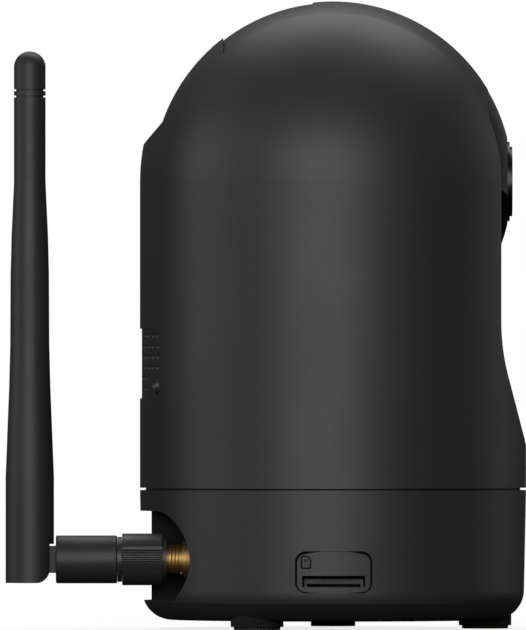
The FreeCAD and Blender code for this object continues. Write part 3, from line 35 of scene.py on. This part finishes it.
MM = 0.001
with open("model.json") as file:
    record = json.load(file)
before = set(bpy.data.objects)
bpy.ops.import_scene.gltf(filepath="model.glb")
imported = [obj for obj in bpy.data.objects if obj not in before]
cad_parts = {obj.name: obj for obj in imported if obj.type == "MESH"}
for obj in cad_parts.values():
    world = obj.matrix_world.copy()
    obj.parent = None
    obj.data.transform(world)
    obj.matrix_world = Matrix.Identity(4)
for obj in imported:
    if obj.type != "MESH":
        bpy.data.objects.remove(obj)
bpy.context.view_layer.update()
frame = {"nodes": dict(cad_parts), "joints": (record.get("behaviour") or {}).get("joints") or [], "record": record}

# ---- places taken from the frame
record = frame["record"]
joint = {j["name"]: j for j in frame["joints"]}
PLUG_AXIS = Vector(joint["antenna_swivel"]["pos_m"])
nut_low, nut_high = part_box("antenna_nut")
jack_low, jack_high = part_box("antenna_jack")
mast_low, mast_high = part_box("antenna_mast")
cap_low, cap_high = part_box("antenna_cap")
base_low, base_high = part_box("base_shell")

# ---- sizes of the visible details
THREAD_PITCH = 25.4 * MM / 36
THREAD_R = 3.175 * MM
THREAD_ROOT_R = 2.95 * MM
CREST_SHARE = 0.62         # radius of the round crest, as a share of the thread's depth
FLANGE_R = 3.9 * MM
INSULATOR_R = 2.05 * MM
FLANGE_AT = 8.5 * MM       # from the socket's tip to its round flange
FLANGE_T = 1.5 * MM
WALL_T = 1.6 * MM          # wall that the flange and the back nut hold between them
BACK_NUT_T = 1.8 * MM
HEX_R = 8.0 * MM / math.sqrt(3)
SOLDER_R = 1.6 * MM
SEAL_IN_R = 38.7 * MM
SEAL_OUT_R = 39.5 * MM
SEAL_RISE = 0.8 * MM       # from the foot of the pan bearing to the lid's top, where the seal lies
SEAL_GAP = 0.03 * MM       # between the seal and the turning housing
PANEL_W = 16.2 * MM
PANEL_H = 8.8 * MM
PANEL_ROUND = 2.15 * MM
PANEL_Z = 12.3 * MM
PANEL_DEPTH = 0.4 * MM
PANEL_COVE = 0.45 * MM     # width of the sloped edge inside the panel
COVE_DROP = 0.4            # how far the sloped edge sinks, as a share of its width
EDGE_LAP = 0.01 * MM       # the sloped edge starts this far inside the panel's outline
SKIN_INSET = 0.03 * MM     # and this far under the wall's skin
FLOOR_SINK = 0.005 * MM    # and ends this far under the panel's floor
WALL_LOW = (8.15 * MM, 40.35 * MM)     # (height, radius) at the foot and the top of the drafted wall
WALL_HIGH = (29.2 * MM, 40.8 * MM)
SIGN_X = -5.8 * MM
SIGN_Z = 14.4 * MM
SIGN_W = 1.9 * MM
SIGN_H = 2.5 * MM
SIGN_LINE = 0.3 * MM
SIGN_CUT = 0.32            # the cut corner, as a share of the width
SIGN_MARKS = (0.36, 0.62)  # the two contact marks, as shares of the width
MARK_TOP = 0.22            # where a mark starts and ends, as shares of the height from the top
MARK_FOOT = 0.45
MARK_LINE = 0.8            # width of a mark, as a share of the outline's
PRINT_SINK = 0.01 * MM     # printed lines reach this far into the panel's floor
PRINT_RISE = 0.03 * MM     # and stand this far out of it
INSIDE_R = 39.85 * MM      # inside this radius the base is painted in shade
GRAIN = 0.5 * MM           # moulded texture, coarser than such plastic usually has, so that it shows
GRAIN_DEPTH = 0.05 * MM

# ---- finish of the casing, with the painted shade inside the base
CHARCOAL = "#2b2b2d"
UNLIT_BLACK = "#060606"     # painted shade: near-black colour and dull roughness inside the base's recess and slot
UNLIT_ROUGH = 0.95
CLOUD = 14 * MM            # size of the drift in roughness, and its range
SATIN = (0.44, 0.54)
INSIDE_STEP = 0.05 * MM    # width of the change from the painted shade inside to the normal finish outside

# ---- studio
MIRROR_SHARE = 0.05        # how much of the white background mirror rays see
WORLD_LIGHT = 0.03
FLOOR_REACH = 2.5
FLOOR_Z = -0.00005
FADE_FROM = 0.10           # the shadow fades out between these distances from the axis
FADE_TO = 0.30
PAPER = 0.3
PAPER_GLOW = 0.8
PAPER_DULL = 0.02          # what other rays see of the sheet
LAMP_AIM = (0, 0, 0.07)


# ------------------------------------------------------------------ colour and nodes
def linear(code):
    """An sRGB hex colour as linear RGBA."""
    channels = [int(code[i:i + 2], 16) / 255 for i in (1, 3, 5)]
    flat = [c / 12.92 if c <= 0.04045 else ((c + 0.055) / 1.055) ** 2.4 for c in channels]
    return (*flat, 1.0)


def add(tree, kind, settings=None, **links):
    """Add a node, set its options, and set or link its inputs by name."""
    made = tree.nodes.new(kind)
    for key, value in (settings or {}).items():
        setattr(made, key, value)
    for key, value in links.items():
        socket = made.inputs[int(key[1:])] if key[1:].isdigit() else made.inputs[key.replace("_", " ")]
        if isinstance(value, bpy.types.NodeSocket):
            tree.links.new(value, socket)
        else:
            socket.default_value = value
    return made


def material(name, colour, roughness, **values):
    """A Principled material with its constants on the shader's own sockets."""
    made = bpy.data.materials.new(name)
    made.use_nodes = True
    shader = made.node_tree.nodes["Principled BSDF"]
    shader.inputs["Base Color"].default_value = linear(colour)
    shader.inputs["Roughness"].default_value = roughness
    for key, value in values.items():
        shader.inputs[key.replace("_", " ")].default_value = value
    return made, made.node_tree, shader


def grained(tree, shader, size, depth, strength, detail=2.0):
    """Fine moulded or cast grain of one size, as bump."""
    place = add(tree, "ShaderNodeTexCoord")
    noise = add(tree, "ShaderNodeTexNoise", Vector=place.outputs["Object"], Scale=1 / size, Detail=detail)
    bump = add(tree, "ShaderNodeBump", Height=noise.outputs["Fac"], Distance=depth, Strength=strength)
    tree.links.new(bump.outputs["Normal"], shader.inputs["Normal"])
    return place


def mottled(tree, shader, place, size, low, high):
    """Roughness that drifts a little over the surface, as handled plastic does."""
    cloud = add(tree, "ShaderNodeTexNoise", Vector=place.outputs["Object"], Scale=1 / size, Detail=3.0)
    span = add(tree, "ShaderNodeMapRange", Value=cloud.outputs["Fac"], To_Min=low, To_Max=high)
    tree.links.new(span.outputs["Result"], shader.inputs["Roughness"])


# ------------------------------------------------------------------ materials
def moulded_abs():
    """Charcoal ABS with a spark-eroded texture: soft, broad highlights."""
    made, tree, shader = material("moulded_abs_charcoal", CHARCOAL, 0.5, IOR=1.5)
    place = grained(tree, shader, GRAIN, GRAIN_DEPTH, 0.5)
    mottled(tree, shader, place, CLOUD, *SATIN)
    return made


def moulded_abs_base_painted_shade():
    """The same ABS on the base, with painted shade: near-black and dull inside its recess and slot."""
    made, tree, shader = material("moulded_abs_base_painted_shade", CHARCOAL, 0.5, IOR=1.5)
    place = grained(tree, shader, GRAIN, GRAIN_DEPTH, 0.5)
    flat = add(tree, "ShaderNodeVectorMath", {"operation": "MULTIPLY"}, _0=place.outputs["Object"], _1=(1, 1, 0))
    reach = add(tree, "ShaderNodeVectorMath", {"operation": "LENGTH"}, _0=flat.outputs["Vector"])
    # painted shade: inside INSIDE_R the colour turns near-black and the surface dull
    outer = add(tree, "ShaderNodeMapRange", Value=reach.outputs["Value"], From_Min=INSIDE_R - INSIDE_STEP,
                From_Max=INSIDE_R)
    colour = add(tree, "ShaderNodeMix", {"data_type": "RGBA"}, _0=outer.outputs["Result"],
                 _6=linear(UNLIT_BLACK), _7=linear(CHARCOAL))
    tree.links.new(colour.outputs[2], shader.inputs["Base Color"])
    cloud = add(tree, "ShaderNodeTexNoise", Vector=place.outputs["Object"], Scale=1 / CLOUD, Detail=3.0)
    gloss = add(tree, "ShaderNodeMapRange", Value=cloud.outputs["Fac"], To_Min=SATIN[0], To_Max=SATIN[1])
    rough = add(tree, "ShaderNodeMix", {"data_type": "FLOAT"}, _0=outer.outputs["Result"], _2=UNLIT_ROUGH,
                _3=gloss.outputs["Result"])
    tree.links.new(rough.outputs[0], shader.inputs["Roughness"])
    return made


def antenna_tpe():
    """Black elastomer over the antenna rod: satin, a little darker than the casing."""
    made, tree, shader = material("antenna_elastomer_black", "#272728", 0.52, IOR=1.49)
    place = grained(tree, shader, GRAIN, GRAIN_DEPTH, 0.45)
    mottled(tree, shader, place, 9 * MM, 0.48, 0.56)
    return made


def face_acrylic():
    """Polished black acrylic that lets infrared through: mirror-like at a glance."""
    made, tree, shader = material("polished_black_acrylic", "#050506", 0.07, IOR=1.49, Coat_Weight=0.4)
    grained(tree, shader, 18 * MM, 0.01 * MM, 0.1, 1.0)
    return made


def inner_abs():
    """Plain moulded inner parts, without a texture."""
    made, tree, shader = material("moulded_inner_black", "#1c1c1d", 0.55, IOR=1.5)
    grained(tree, shader, 0.8 * MM, 0.02 * MM, 0.3)
    return made


def gear_acetal():
    """Natural acetal: waxy, off-white, a little light gets in."""
    made, tree, shader = material("natural_acetal", "#e9e6da", 0.38, IOR=1.48, Subsurface_Weight=0.15)
    shader.inputs["Subsurface Radius"].default_value = (0.002, 0.0018, 0.0014)
    grained(tree, shader, 1.2 * MM, 0.01 * MM, 0.3)
    return made


def brushed(name, colour, roughness, line):
    """Turned or brushed metal with fine lines across X."""
    made, tree, shader = material(name, colour, roughness, Metallic=1.0)
    place = add(tree, "ShaderNodeTexCoord")
    turn = add(tree, "ShaderNodeMapping", Vector=place.outputs["Object"], Scale=(1 / line, 0.12 / line, 0.12 / line))
    noise = add(tree, "ShaderNodeTexNoise", Vector=turn.outputs["Vector"], Scale=1.0, Detail=3.0)
    bump = add(tree, "ShaderNodeBump", Height=noise.outputs["Fac"], Distance=0.01 * MM, Strength=0.4)
    tree.links.new(bump.outputs["Normal"], shader.inputs["Normal"])
    span = add(tree, "ShaderNodeMapRange", Value=noise.outputs["Fac"], To_Min=roughness - 0.06, To_Max=roughness + 0.08)
    tree.links.new(span.outputs["Result"], shader.inputs["Roughness"])
    return made


def coated_black():
    """Black powder coat over the nut and the plug: satin, with a fine orange peel."""
    made, tree, shader = material("powder_coated_black", "#2a2a2b", 0.45, IOR=1.5)
    place = grained(tree, shader, 0.55 * MM, 0.03 * MM, 0.4)
    mottled(tree, shader, place, 5 * MM, 0.4, 0.5)
    return made


def felt_black():
    """Pressed black felt: no gloss, fibres lie every way."""
    made, tree, shader = material("pressed_felt_black", "#101010", 0.95, IOR=1.5, Sheen_Weight=0.2)
    grained(tree, shader, 0.4 * MM, 0.08 * MM, 0.8, 4.0)
    return made


def rubber_black():
    """Matt moulded rubber of the feet."""
    made, tree, shader = material("moulded_rubber_black", "#151515", 0.8, IOR=1.5)
    grained(tree, shader, 0.5 * MM, 0.04 * MM, 0.6)
    return made


def solder_mask():
    """Green solder mask over copper tracks, with a gloss of its own."""
    made, tree, shader = material("solder_mask_green", "#0f4a2a", 0.35, IOR=1.52)
    place = add(tree, "ShaderNodeTexCoord")
    tracks = add(tree, "ShaderNodeTexBrick", Vector=place.outputs["Object"], Scale=1 / (6 * MM),
                 Color1=linear("#0f4a2a"), Color2=linear("#12552f"), Mortar=linear("#1d7040"), Mortar_Size=0.03)
    tree.links.new(tracks.outputs["Color"], shader.inputs["Base Color"])
    return made


def cable_pvc():
    """Soft black sleeve over the wire harnesses."""
    made, tree, shader = material("cable_sleeve_black", "#1a1a1b", 0.5, IOR=1.5)
    grained(tree, shader, 0.7 * MM, 0.03 * MM, 0.4)
    return made


def coated_glass():
    """Lens glass with a violet anti-reflection coating."""
    made, tree, shader = material("coated_lens_glass", "#dcd6ee", 0.02, IOR=1.6, Transmission_Weight=0.85)
    shader.inputs["Coat Weight"].default_value = 0.6
    shader.inputs["Coat Tint"].default_value = linear("#8f7be0")
    grained(tree, shader, 9 * MM, 0.002 * MM, 0.05, 1.0)
    return made


def lamp_epoxy():
    """Dark clear epoxy of the infrared lamps."""
    made, tree, shader = material("dark_epoxy", "#2a0d12", 0.12, IOR=1.54, Coat_Weight=0.5)
    grained(tree, shader, 1.5 * MM, 0.01 * MM, 0.2)
    return made


def print_and_painted_shade_black():
    """Matt, nearly black print of the card sign, also used as painted shade on the panel's sloped edge."""
    made, tree, shader = material("pad_print_and_painted_shade", "#050505", 0.9, IOR=1.3)
    grained(tree, shader, 0.3 * MM, 0.01 * MM, 0.3)
    return made


ABS = moulded_abs()
BASE_ABS_PAINTED_SHADE = moulded_abs_base_painted_shade()
ANTENNA = antenna_tpe()
ACRYLIC = face_acrylic()
INNER = inner_abs()
ACETAL = gear_acetal()
STEEL = brushed("zinc_plated_steel", "#9d9ea0", 0.3, 0.4 * MM)
NICKEL = brushed("nickel_plated_steel", "#b3b1ac", 0.24, 0.5 * MM)
DARK_NUT = coated_black()
GOLD = brushed("gold_plated_brass", "#ad8b55", 0.5, 0.3 * MM)
COPPER = brushed("drawn_copper", "#b87248", 0.3, 0.4 * MM)
ANODISED = brushed("anodised_aluminium_dark", "#3a3a3d", 0.35, 0.4 * MM)
RUBBER = rubber_black()
FELT = felt_black()
BOARD = solder_mask()
SLEEVE = cable_pvc()
GLASS = coated_glass()
LAMP = lamp_epoxy()
PRINT_AND_PAINTED_SHADE = print_and_painted_shade_black()

FINISH = {
    "black_plastic": ABS, "antenna_plastic": ANTENNA, "gloss_face": ACRYLIC, "inner_plastic": INNER,
    "white_gear": ACETAL, "screw_steel": STEEL, "socket_steel": NICKEL, "brass": GOLD,
    "nut_dark_metal": DARK_NUT, "antenna_copper": COPPER, "foot_rubber": RUBBER, "circuit_board": BOARD,
    "cable_sleeve": SLEEVE, "speaker_black": INNER, "lens_metal": ANODISED, "lens_glass": GLASS,
    "lamp_lens": LAMP}


def finish_nodes():
    """Give every CAD node the finish of its slot."""
    for part in record["subparts"]:
        shown = frame["nodes"][part["node"]]
        shown.data.materials.clear()
        # the base shell gets the ABS with painted shade inside its recess and slot
        shown.data.materials.append(BASE_ABS_PAINTED_SHADE if part["node"] == "base_shell" else FINISH[part["material_slot"]])


# ------------------------------------------------------------------ mesh helpers
def new_piece(name, mesh, finish):
    mesh.materials.clear()
    mesh.materials.append(finish)
    piece = bpy.data.objects.new(name, mesh)
    bpy.context.scene.collection.objects.link(piece)
    return piece


def smooth(mesh, degrees=30):
    """Smooth shading, kept sharp past an angle."""
    for face in mesh.polygons:
        face.use_smooth = True
    mesh.set_sharp_from_angle(angle=math.radians(degrees))


def turned(name, profile, along, origin, finish, segments=96, sharp=30):
    """A solid of revolution: (distance, radius) points about an axis through origin."""
    work = bmesh.new()
    axis = Vector(along).normalized()
    side = axis.orthogonal().normalized()
    rings = []
    for distance, radius in profile:
        centre = Vector(origin) + axis * distance
        if radius < 1e-7:
            rings.append([work.verts.new(centre)])
            continue
        ring = []
        for i in range(segments):
            turn = Matrix.Rotation(2 * math.pi * i / segments, 3, axis)
            ring.append(work.verts.new(centre + turn @ side * radius))
        rings.append(ring)
    for lower, upper in zip(rings, rings[1:] + rings[:1]):
        if len(lower) == 1 and len(upper) == 1:
            continue
        for i in range(segments):
            j = (i + 1) % segments
            corners = [lower[i % len(lower)], lower[j % len(lower)], upper[j % len(upper)], upper[i % len(upper)]]
            unique = list(dict.fromkeys(corners))
            work.faces.new(unique)
    bmesh.ops.recalc_face_normals(work, faces=work.faces)
    mesh = bpy.data.meshes.new(name)
    work.to_mesh(mesh)
    work.free()
    smooth(mesh, sharp)
    return new_piece(name, mesh, finish)


# ------------------------------------------------------------------ geometry nodes
def node_tree_mesh(tree, finish, inputs):
    """The plain mesh that a geometry node tree makes, with its inputs set by socket identifier."""
    holder = bpy.data.objects.new("maker", bpy.data.meshes.new("maker"))
    bpy.context.scene.collection.objects.link(holder)
    modifier = holder.modifiers.new("maker", "NODES")
    modifier.node_group = tree
    for item in tree.interface.items_tree:
        if item.in_out == "INPUT" and item.name in inputs:
            modifier[item.identifier] = inputs[item.name]
    graph = bpy.context.evaluated_depsgraph_get()
    graph.update()
    mesh = bpy.data.meshes.new_from_object(holder.evaluated_get(graph), depsgraph=graph)
    holder.modifiers.clear()
    bpy.data.objects.remove(holder)
    mesh.materials.clear()
    mesh.materials.append(finish)
    return mesh


def thread_tree(finish):
    """A helical ridge round Z: a spiral curve carries a round crest along it."""
    tree = bpy.data.node_groups.new("thread", "GeometryNodeTree")
    tree.interface.new_socket("Geometry", in_out="OUTPUT", socket_type="NodeSocketGeometry")
    for name in ("Pitch", "Root Radius", "Crest Radius", "Length"):
        tree.interface.new_socket(name, in_out="INPUT", socket_type="NodeSocketFloat")
    sizes = add(tree, "NodeGroupInput")
    turns = add(tree, "ShaderNodeMath", {"operation": "DIVIDE"}, _0=sizes.outputs["Length"], _1=sizes.outputs["Pitch"])
    depth = add(tree, "ShaderNodeMath", {"operation": "SUBTRACT"}, _0=sizes.outputs["Crest Radius"],
                _1=sizes.outputs["Root Radius"])
    crest = add(tree, "ShaderNodeMath", {"operation": "MULTIPLY"}, _0=depth.outputs[0], _1=CREST_SHARE)
    middle = add(tree, "ShaderNodeMath", {"operation": "SUBTRACT"}, _0=sizes.outputs["Crest Radius"],
                 _1=crest.outputs[0])
    spiral = add(tree, "GeometryNodeCurveSpiral", Resolution=40, Rotations=turns.outputs[0],
                 Start_Radius=middle.outputs[0], End_Radius=middle.outputs[0], Height=sizes.outputs["Length"])
    ring = add(tree, "GeometryNodeCurvePrimitiveCircle", Resolution=6, Radius=crest.outputs[0])
    ridge = add(tree, "GeometryNodeCurveToMesh", Curve=spiral.outputs[0], Profile_Curve=ring.outputs[0], Fill_Caps=True)
    real = add(tree, "GeometryNodeRealizeInstances", Geometry=ridge.outputs[0])
    painted = add(tree, "GeometryNodeSetMaterial", Geometry=real.outputs[0], Material=finish)
    add(tree, "NodeGroupOutput", Geometry=painted.outputs[0])
    return tree


# ------------------------------------------------------------------ pieces
def hexagon_into(work, x0, x1, centre):
    """A closed hexagonal prism along X."""
    rings = []
    for x in (x0, x1):
        corners = [(math.cos(math.radians(60 * i)), math.sin(math.radians(60 * i))) for i in range(6)]
        rings.append([work.verts.new((x, centre.y + HEX_R * c, centre.z + HEX_R * s)) for c, s in corners])
    for i in range(6):
        j = (i + 1) % 6
        work.faces.new((rings[0][i], rings[0][j], rings[1][j], rings[1][i]))
    work.faces.new(rings[0][::-1])
    work.faces.new(rings[1])


def threaded_socket():
    """The antenna socket with its helical thread, round flange and hexagonal back nut."""
    tip, back = jack_low.x, jack_high.x
    flange = tip + FLANGE_AT
    back_nut = flange + FLANGE_T + WALL_T
    centre = Vector((0, PLUG_AXIS.y, PLUG_AXIS.z))
    core = turned("core", [(tip, INSULATOR_R), (tip, THREAD_ROOT_R), (flange, THREAD_ROOT_R), (flange, FLANGE_R),
                           (flange + FLANGE_T, FLANGE_R), (flange + FLANGE_T, THREAD_ROOT_R),
                           (back_nut + BACK_NUT_T, THREAD_ROOT_R),
                           (back_nut + BACK_NUT_T, SOLDER_R), (back, SOLDER_R), (back, 0),
                           (back_nut, 0), (back_nut, INSULATOR_R)], (1, 0, 0), centre, GOLD)
    ridge = node_tree_mesh(thread_tree(GOLD), GOLD, {
        "Pitch": THREAD_PITCH, "Root Radius": THREAD_ROOT_R, "Crest Radius": THREAD_R,
        "Length": FLANGE_AT - THREAD_PITCH})
    start = Matrix.Translation((tip + THREAD_PITCH / 2, centre.y, centre.z))
    ridge.transform(start @ Matrix.Rotation(math.pi / 2, 4, "Y"))
    work = bmesh.new()
    work.from_mesh(core.data)
    work.from_mesh(ridge)
    hexagon_into(work, back_nut, back_nut + BACK_NUT_T, centre)
    bmesh.ops.recalc_face_normals(work, faces=work.faces)
    mesh = bpy.data.meshes.new("threaded_socket")
    work.to_mesh(mesh)
    work.free()
    bpy.data.objects.remove(core)
    smooth(mesh, 40)
    piece = new_piece("threaded_socket", mesh, GOLD)
    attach(piece, "base")
    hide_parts("antenna_jack")


def dust_seal():
    """Felt ring on the lid of the base that closes the seam under the turning housing."""
    deck_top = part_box("pan_bearing")[0].z + SEAL_RISE
    seal_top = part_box("housing_shell")[0].z - SEAL_GAP
    piece = turned("dust_seal", [(deck_top, SEAL_OUT_R), (seal_top, SEAL_OUT_R),
                                 (seal_top, SEAL_IN_R), (deck_top, SEAL_IN_R)],
                   (0, 0, 1), (0, 0, 0), FELT, segments=160)
    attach(piece, "base")


def wall_y(x, z, inset):
    """Y of the base's drafted wall on the card side, set in by inset."""
    share = (z - WALL_LOW[0]) / (WALL_HIGH[0] - WALL_LOW[0])
    radius = WALL_LOW[1] + share * (WALL_HIGH[1] - WALL_LOW[1]) - inset
    return -math.sqrt(radius ** 2 - x ** 2)


def panel_loop(shrink, drop=0.0, per_corner=10):
    """Points of the panel's rounded outline, moved inwards by shrink and down by drop."""
    points = []
    half_w, half_h, radius = PANEL_W / 2 - shrink, PANEL_H / 2 - shrink, PANEL_ROUND - shrink
    for quarter, (sx, sz) in enumerate(((1, 1), (-1, 1), (-1, -1), (1, -1))):
        for i in range(per_corner + 1):
            turn = math.radians(90 * quarter + 90 * i / per_corner)
            points.append((sx * (half_w - radius) + radius * math.cos(turn),
                           PANEL_Z - drop + sz * (half_h - radius) + radius * math.sin(turn)))
    return points


def panel_painted_shade_edge():
    """Sloped edge inside the card panel, from the wall's skin down to the panel's floor, coloured near-black as painted
    shade.
    """
    work = bmesh.new()
    loops = []
    floor = PANEL_DEPTH + FLOOR_SINK
    steps = ((EDGE_LAP, 0, SKIN_INSET), (PANEL_COVE, PANEL_COVE * COVE_DROP, floor), (EDGE_LAP, 0, floor))
    for shrink, drop, inset in steps:
        loops.append([work.verts.new((x, wall_y(x, z, inset), z)) for x, z in panel_loop(shrink, drop)])
    count = len(loops[0])
    for first, second in zip(loops, loops[1:] + loops[:1]):
        for i in range(count):
            j = (i + 1) % count
            work.faces.new((first[i], first[j], second[j], second[i]))
    bmesh.ops.recalc_face_normals(work, faces=work.faces)
    mesh = bpy.data.meshes.new("card_panel_painted_shade_edge")
    work.to_mesh(mesh)
    work.free()
    smooth(mesh, 35)
    # the sloped edge takes the near-black print colour: painted shade along the panel's edge
    piece = new_piece("card_panel_painted_shade_edge", mesh, PRINT_AND_PAINTED_SHADE)
    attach(piece, "base")


def bar_into(work, start, end, thick):
    """A thin printed line on the panel's floor between two points given as (x, z)."""
    a, b = Vector(start), Vector(end)
    side = (b - a).normalized().orthogonal() * thick / 2
    rings = []
    for inset in (PANEL_DEPTH + PRINT_SINK, PANEL_DEPTH - PRINT_RISE):
        corners = (a + side, b + side, b - side, a - side)
        rings.append([work.verts.new((c.x, wall_y(c.x, c.y, inset), c.y)) for c in corners])
    for i in range(4):
        j = (i + 1) % 4
        work.faces.new((rings[0][i], rings[0][j], rings[1][j], rings[1][i]))
    work.faces.new(rings[0][::-1])
    work.faces.new(rings[1])


def card_sign():
    """Plain pictogram of a memory card: its outline with one cut corner, and two contact marks."""
    work = bmesh.new()
    x0, x1 = SIGN_X - SIGN_W / 2, SIGN_X + SIGN_W / 2
    z0, z1 = SIGN_Z - SIGN_H / 2, SIGN_Z + SIGN_H / 2
    cut = SIGN_W * SIGN_CUT
    ring = [(x0, z0), (x1, z0), (x1, z1 - cut), (x1 - cut, z1), (x0, z1)]
    for start, end in zip(ring, ring[1:] + ring[:1]):
        bar_into(work, start, end, SIGN_LINE)
    for share in SIGN_MARKS:
        x = x0 + SIGN_W * share
        bar_into(work, (x, z1 - SIGN_H * MARK_TOP), (x, z1 - SIGN_H * MARK_FOOT), SIGN_LINE * MARK_LINE)
    bmesh.ops.recalc_face_normals(work, faces=work.faces)
    mesh = bpy.data.meshes.new("card_sign")
    work.to_mesh(mesh)
    work.free()
    piece = new_piece("card_sign", mesh, PRINT_AND_PAINTED_SHADE)
    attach(piece, "base")


# ------------------------------------------------------------------ stage, lights and camera
VIEW_H = 133.1 * MM        # height of the view at the object
VIEW_X = -14.8 * MM        # where the middle of the view lies
VIEW_Z = 66.2 * MM
LENS = 1300                # a very long lens, because level edges stay level in this view


def set_camera():
    data = bpy.data.cameras.new("camera")
    data.lens = LENS
    data.sensor_width = 36
    data.clip_end = 60
    camera = bpy.data.objects.new("camera", data)
    camera.location = (VIEW_X, -VIEW_H * LENS / data.sensor_width, VIEW_Z)
    camera.rotation_euler = (math.radians(90), 0, 0)
    bpy.context.scene.collection.objects.link(camera)
    bpy.context.scene.camera = camera


def softbox(name, bearing, height, distance, size, watts):
    """A lamp aimed at the object: bearing 0 is in front, 90 on the right, and 180 behind."""
    turn = math.radians(bearing)
    aim = Vector(LAMP_AIM)
    rise = math.radians(height)
    away = Vector((math.sin(turn) * math.cos(rise), -math.cos(turn) * math.cos(rise), math.sin(rise)))
    data = bpy.data.lights.new(name, "AREA")
    data.shape = "RECTANGLE"
    data.size, data.size_y = size
    data.energy = watts
    lamp = bpy.data.objects.new(name, data)
    lamp.location = aim + away * distance
    lamp.rotation_euler = (-away).to_track_quat("-Z", "Y").to_euler()
    bpy.context.scene.collection.objects.link(lamp)


def seen_part(tree, glossy):
    """One for camera and transmission rays, glossy for mirror rays, else zero."""
    path = add(tree, "ShaderNodeLightPath")
    direct = add(tree, "ShaderNodeMath", {"operation": "MAXIMUM"}, _0=path.outputs["Is Camera Ray"],
                 _1=path.outputs["Is Transmission Ray"])
    mirror = add(tree, "ShaderNodeMath", {"operation": "MULTIPLY"}, _0=path.outputs["Is Glossy Ray"], _1=glossy)
    return add(tree, "ShaderNodeMath", {"operation": "MAXIMUM"}, _0=direct.outputs[0], _1=mirror.outputs[0])


def set_world():
    world = bpy.data.worlds.new("studio")
    bpy.context.scene.world = world
    world.use_nodes = True
    tree = world.node_tree
    tree.nodes.clear()
    seen = seen_part(tree, MIRROR_SHARE)
    dim = add(tree, "ShaderNodeBackground", Color=(WORLD_LIGHT, WORLD_LIGHT, WORLD_LIGHT, 1), Strength=1.0)
    white = add(tree, "ShaderNodeBackground", Color=(1, 1, 1, 1), Strength=1.0)
    mix = add(tree, "ShaderNodeMixShader", _0=seen.outputs[0], _1=dim.outputs[0], _2=white.outputs[0])
    add(tree, "ShaderNodeOutputWorld", Surface=mix.outputs[0])


def set_floor():
    """A white sheet that takes the shadow near the object and fades into the background."""
    mesh = bpy.data.meshes.new("floor")
    corners = [(-1, -1), (1, -1), (1, 1), (-1, 1)]
    mesh.from_pydata([(x * FLOOR_REACH, y * FLOOR_REACH, FLOOR_Z) for x, y in corners], [], [(0, 1, 2, 3)])
    made = bpy.data.materials.new("studio_floor")
    made.use_nodes = True
    tree = made.node_tree
    tree.nodes.clear()
    seen = seen_part(tree, 0.0)
    place = add(tree, "ShaderNodeTexCoord")
    far = add(tree, "ShaderNodeVectorMath", {"operation": "LENGTH"}, _0=place.outputs["Object"])
    fade = add(tree, "ShaderNodeMapRange", Value=far.outputs["Value"], From_Min=FADE_FROM, From_Max=FADE_TO)
    paper = add(tree, "ShaderNodeBsdfDiffuse", Color=(PAPER, PAPER, PAPER, 1))
    glow = add(tree, "ShaderNodeEmission", Color=(1, 1, 1, 1), Strength=PAPER_GLOW)
    lit = add(tree, "ShaderNodeAddShader", _0=paper.outputs[0], _1=glow.outputs[0])
    white = add(tree, "ShaderNodeEmission", Color=(1, 1, 1, 1), Strength=1.0)
    shown = add(tree, "ShaderNodeMixShader", _0=fade.outputs["Result"], _1=lit.outputs[0], _2=white.outputs[0])
    dull = add(tree, "ShaderNodeBsdfDiffuse", Color=(PAPER_DULL, PAPER_DULL, PAPER_DULL, 1))
    both = add(tree, "ShaderNodeMixShader", _0=seen.outputs[0], _1=dull.outputs[0], _2=shown.outputs[0])
    add(tree, "ShaderNodeOutputMaterial", Surface=both.outputs[0])
    new_piece("floor", mesh, made)


def set_lights():
    softbox("overhead_softbox", bearing=172, height=66, distance=0.8, size=(0.9, 0.42), watts=4.2)
    softbox("front_softbox", bearing=-6, height=4, distance=1.15, size=(0.95, 0.85), watts=12.0)
    softbox("left_softbox", bearing=-82, height=5, distance=1.0, size=(0.7, 0.8), watts=3.0)
    softbox("right_softbox", bearing=116, height=5, distance=1.0, size=(0.3, 0.8), watts=0.9)


# ------------------------------------------------------------------ build
finish_nodes()
threaded_socket()
dust_seal()
panel_painted_shade_edge()
card_sign()
set_camera()
set_world()
set_floor()
set_lights()
scene = bpy.context.scene
scene.view_settings.view_transform = "Standard"
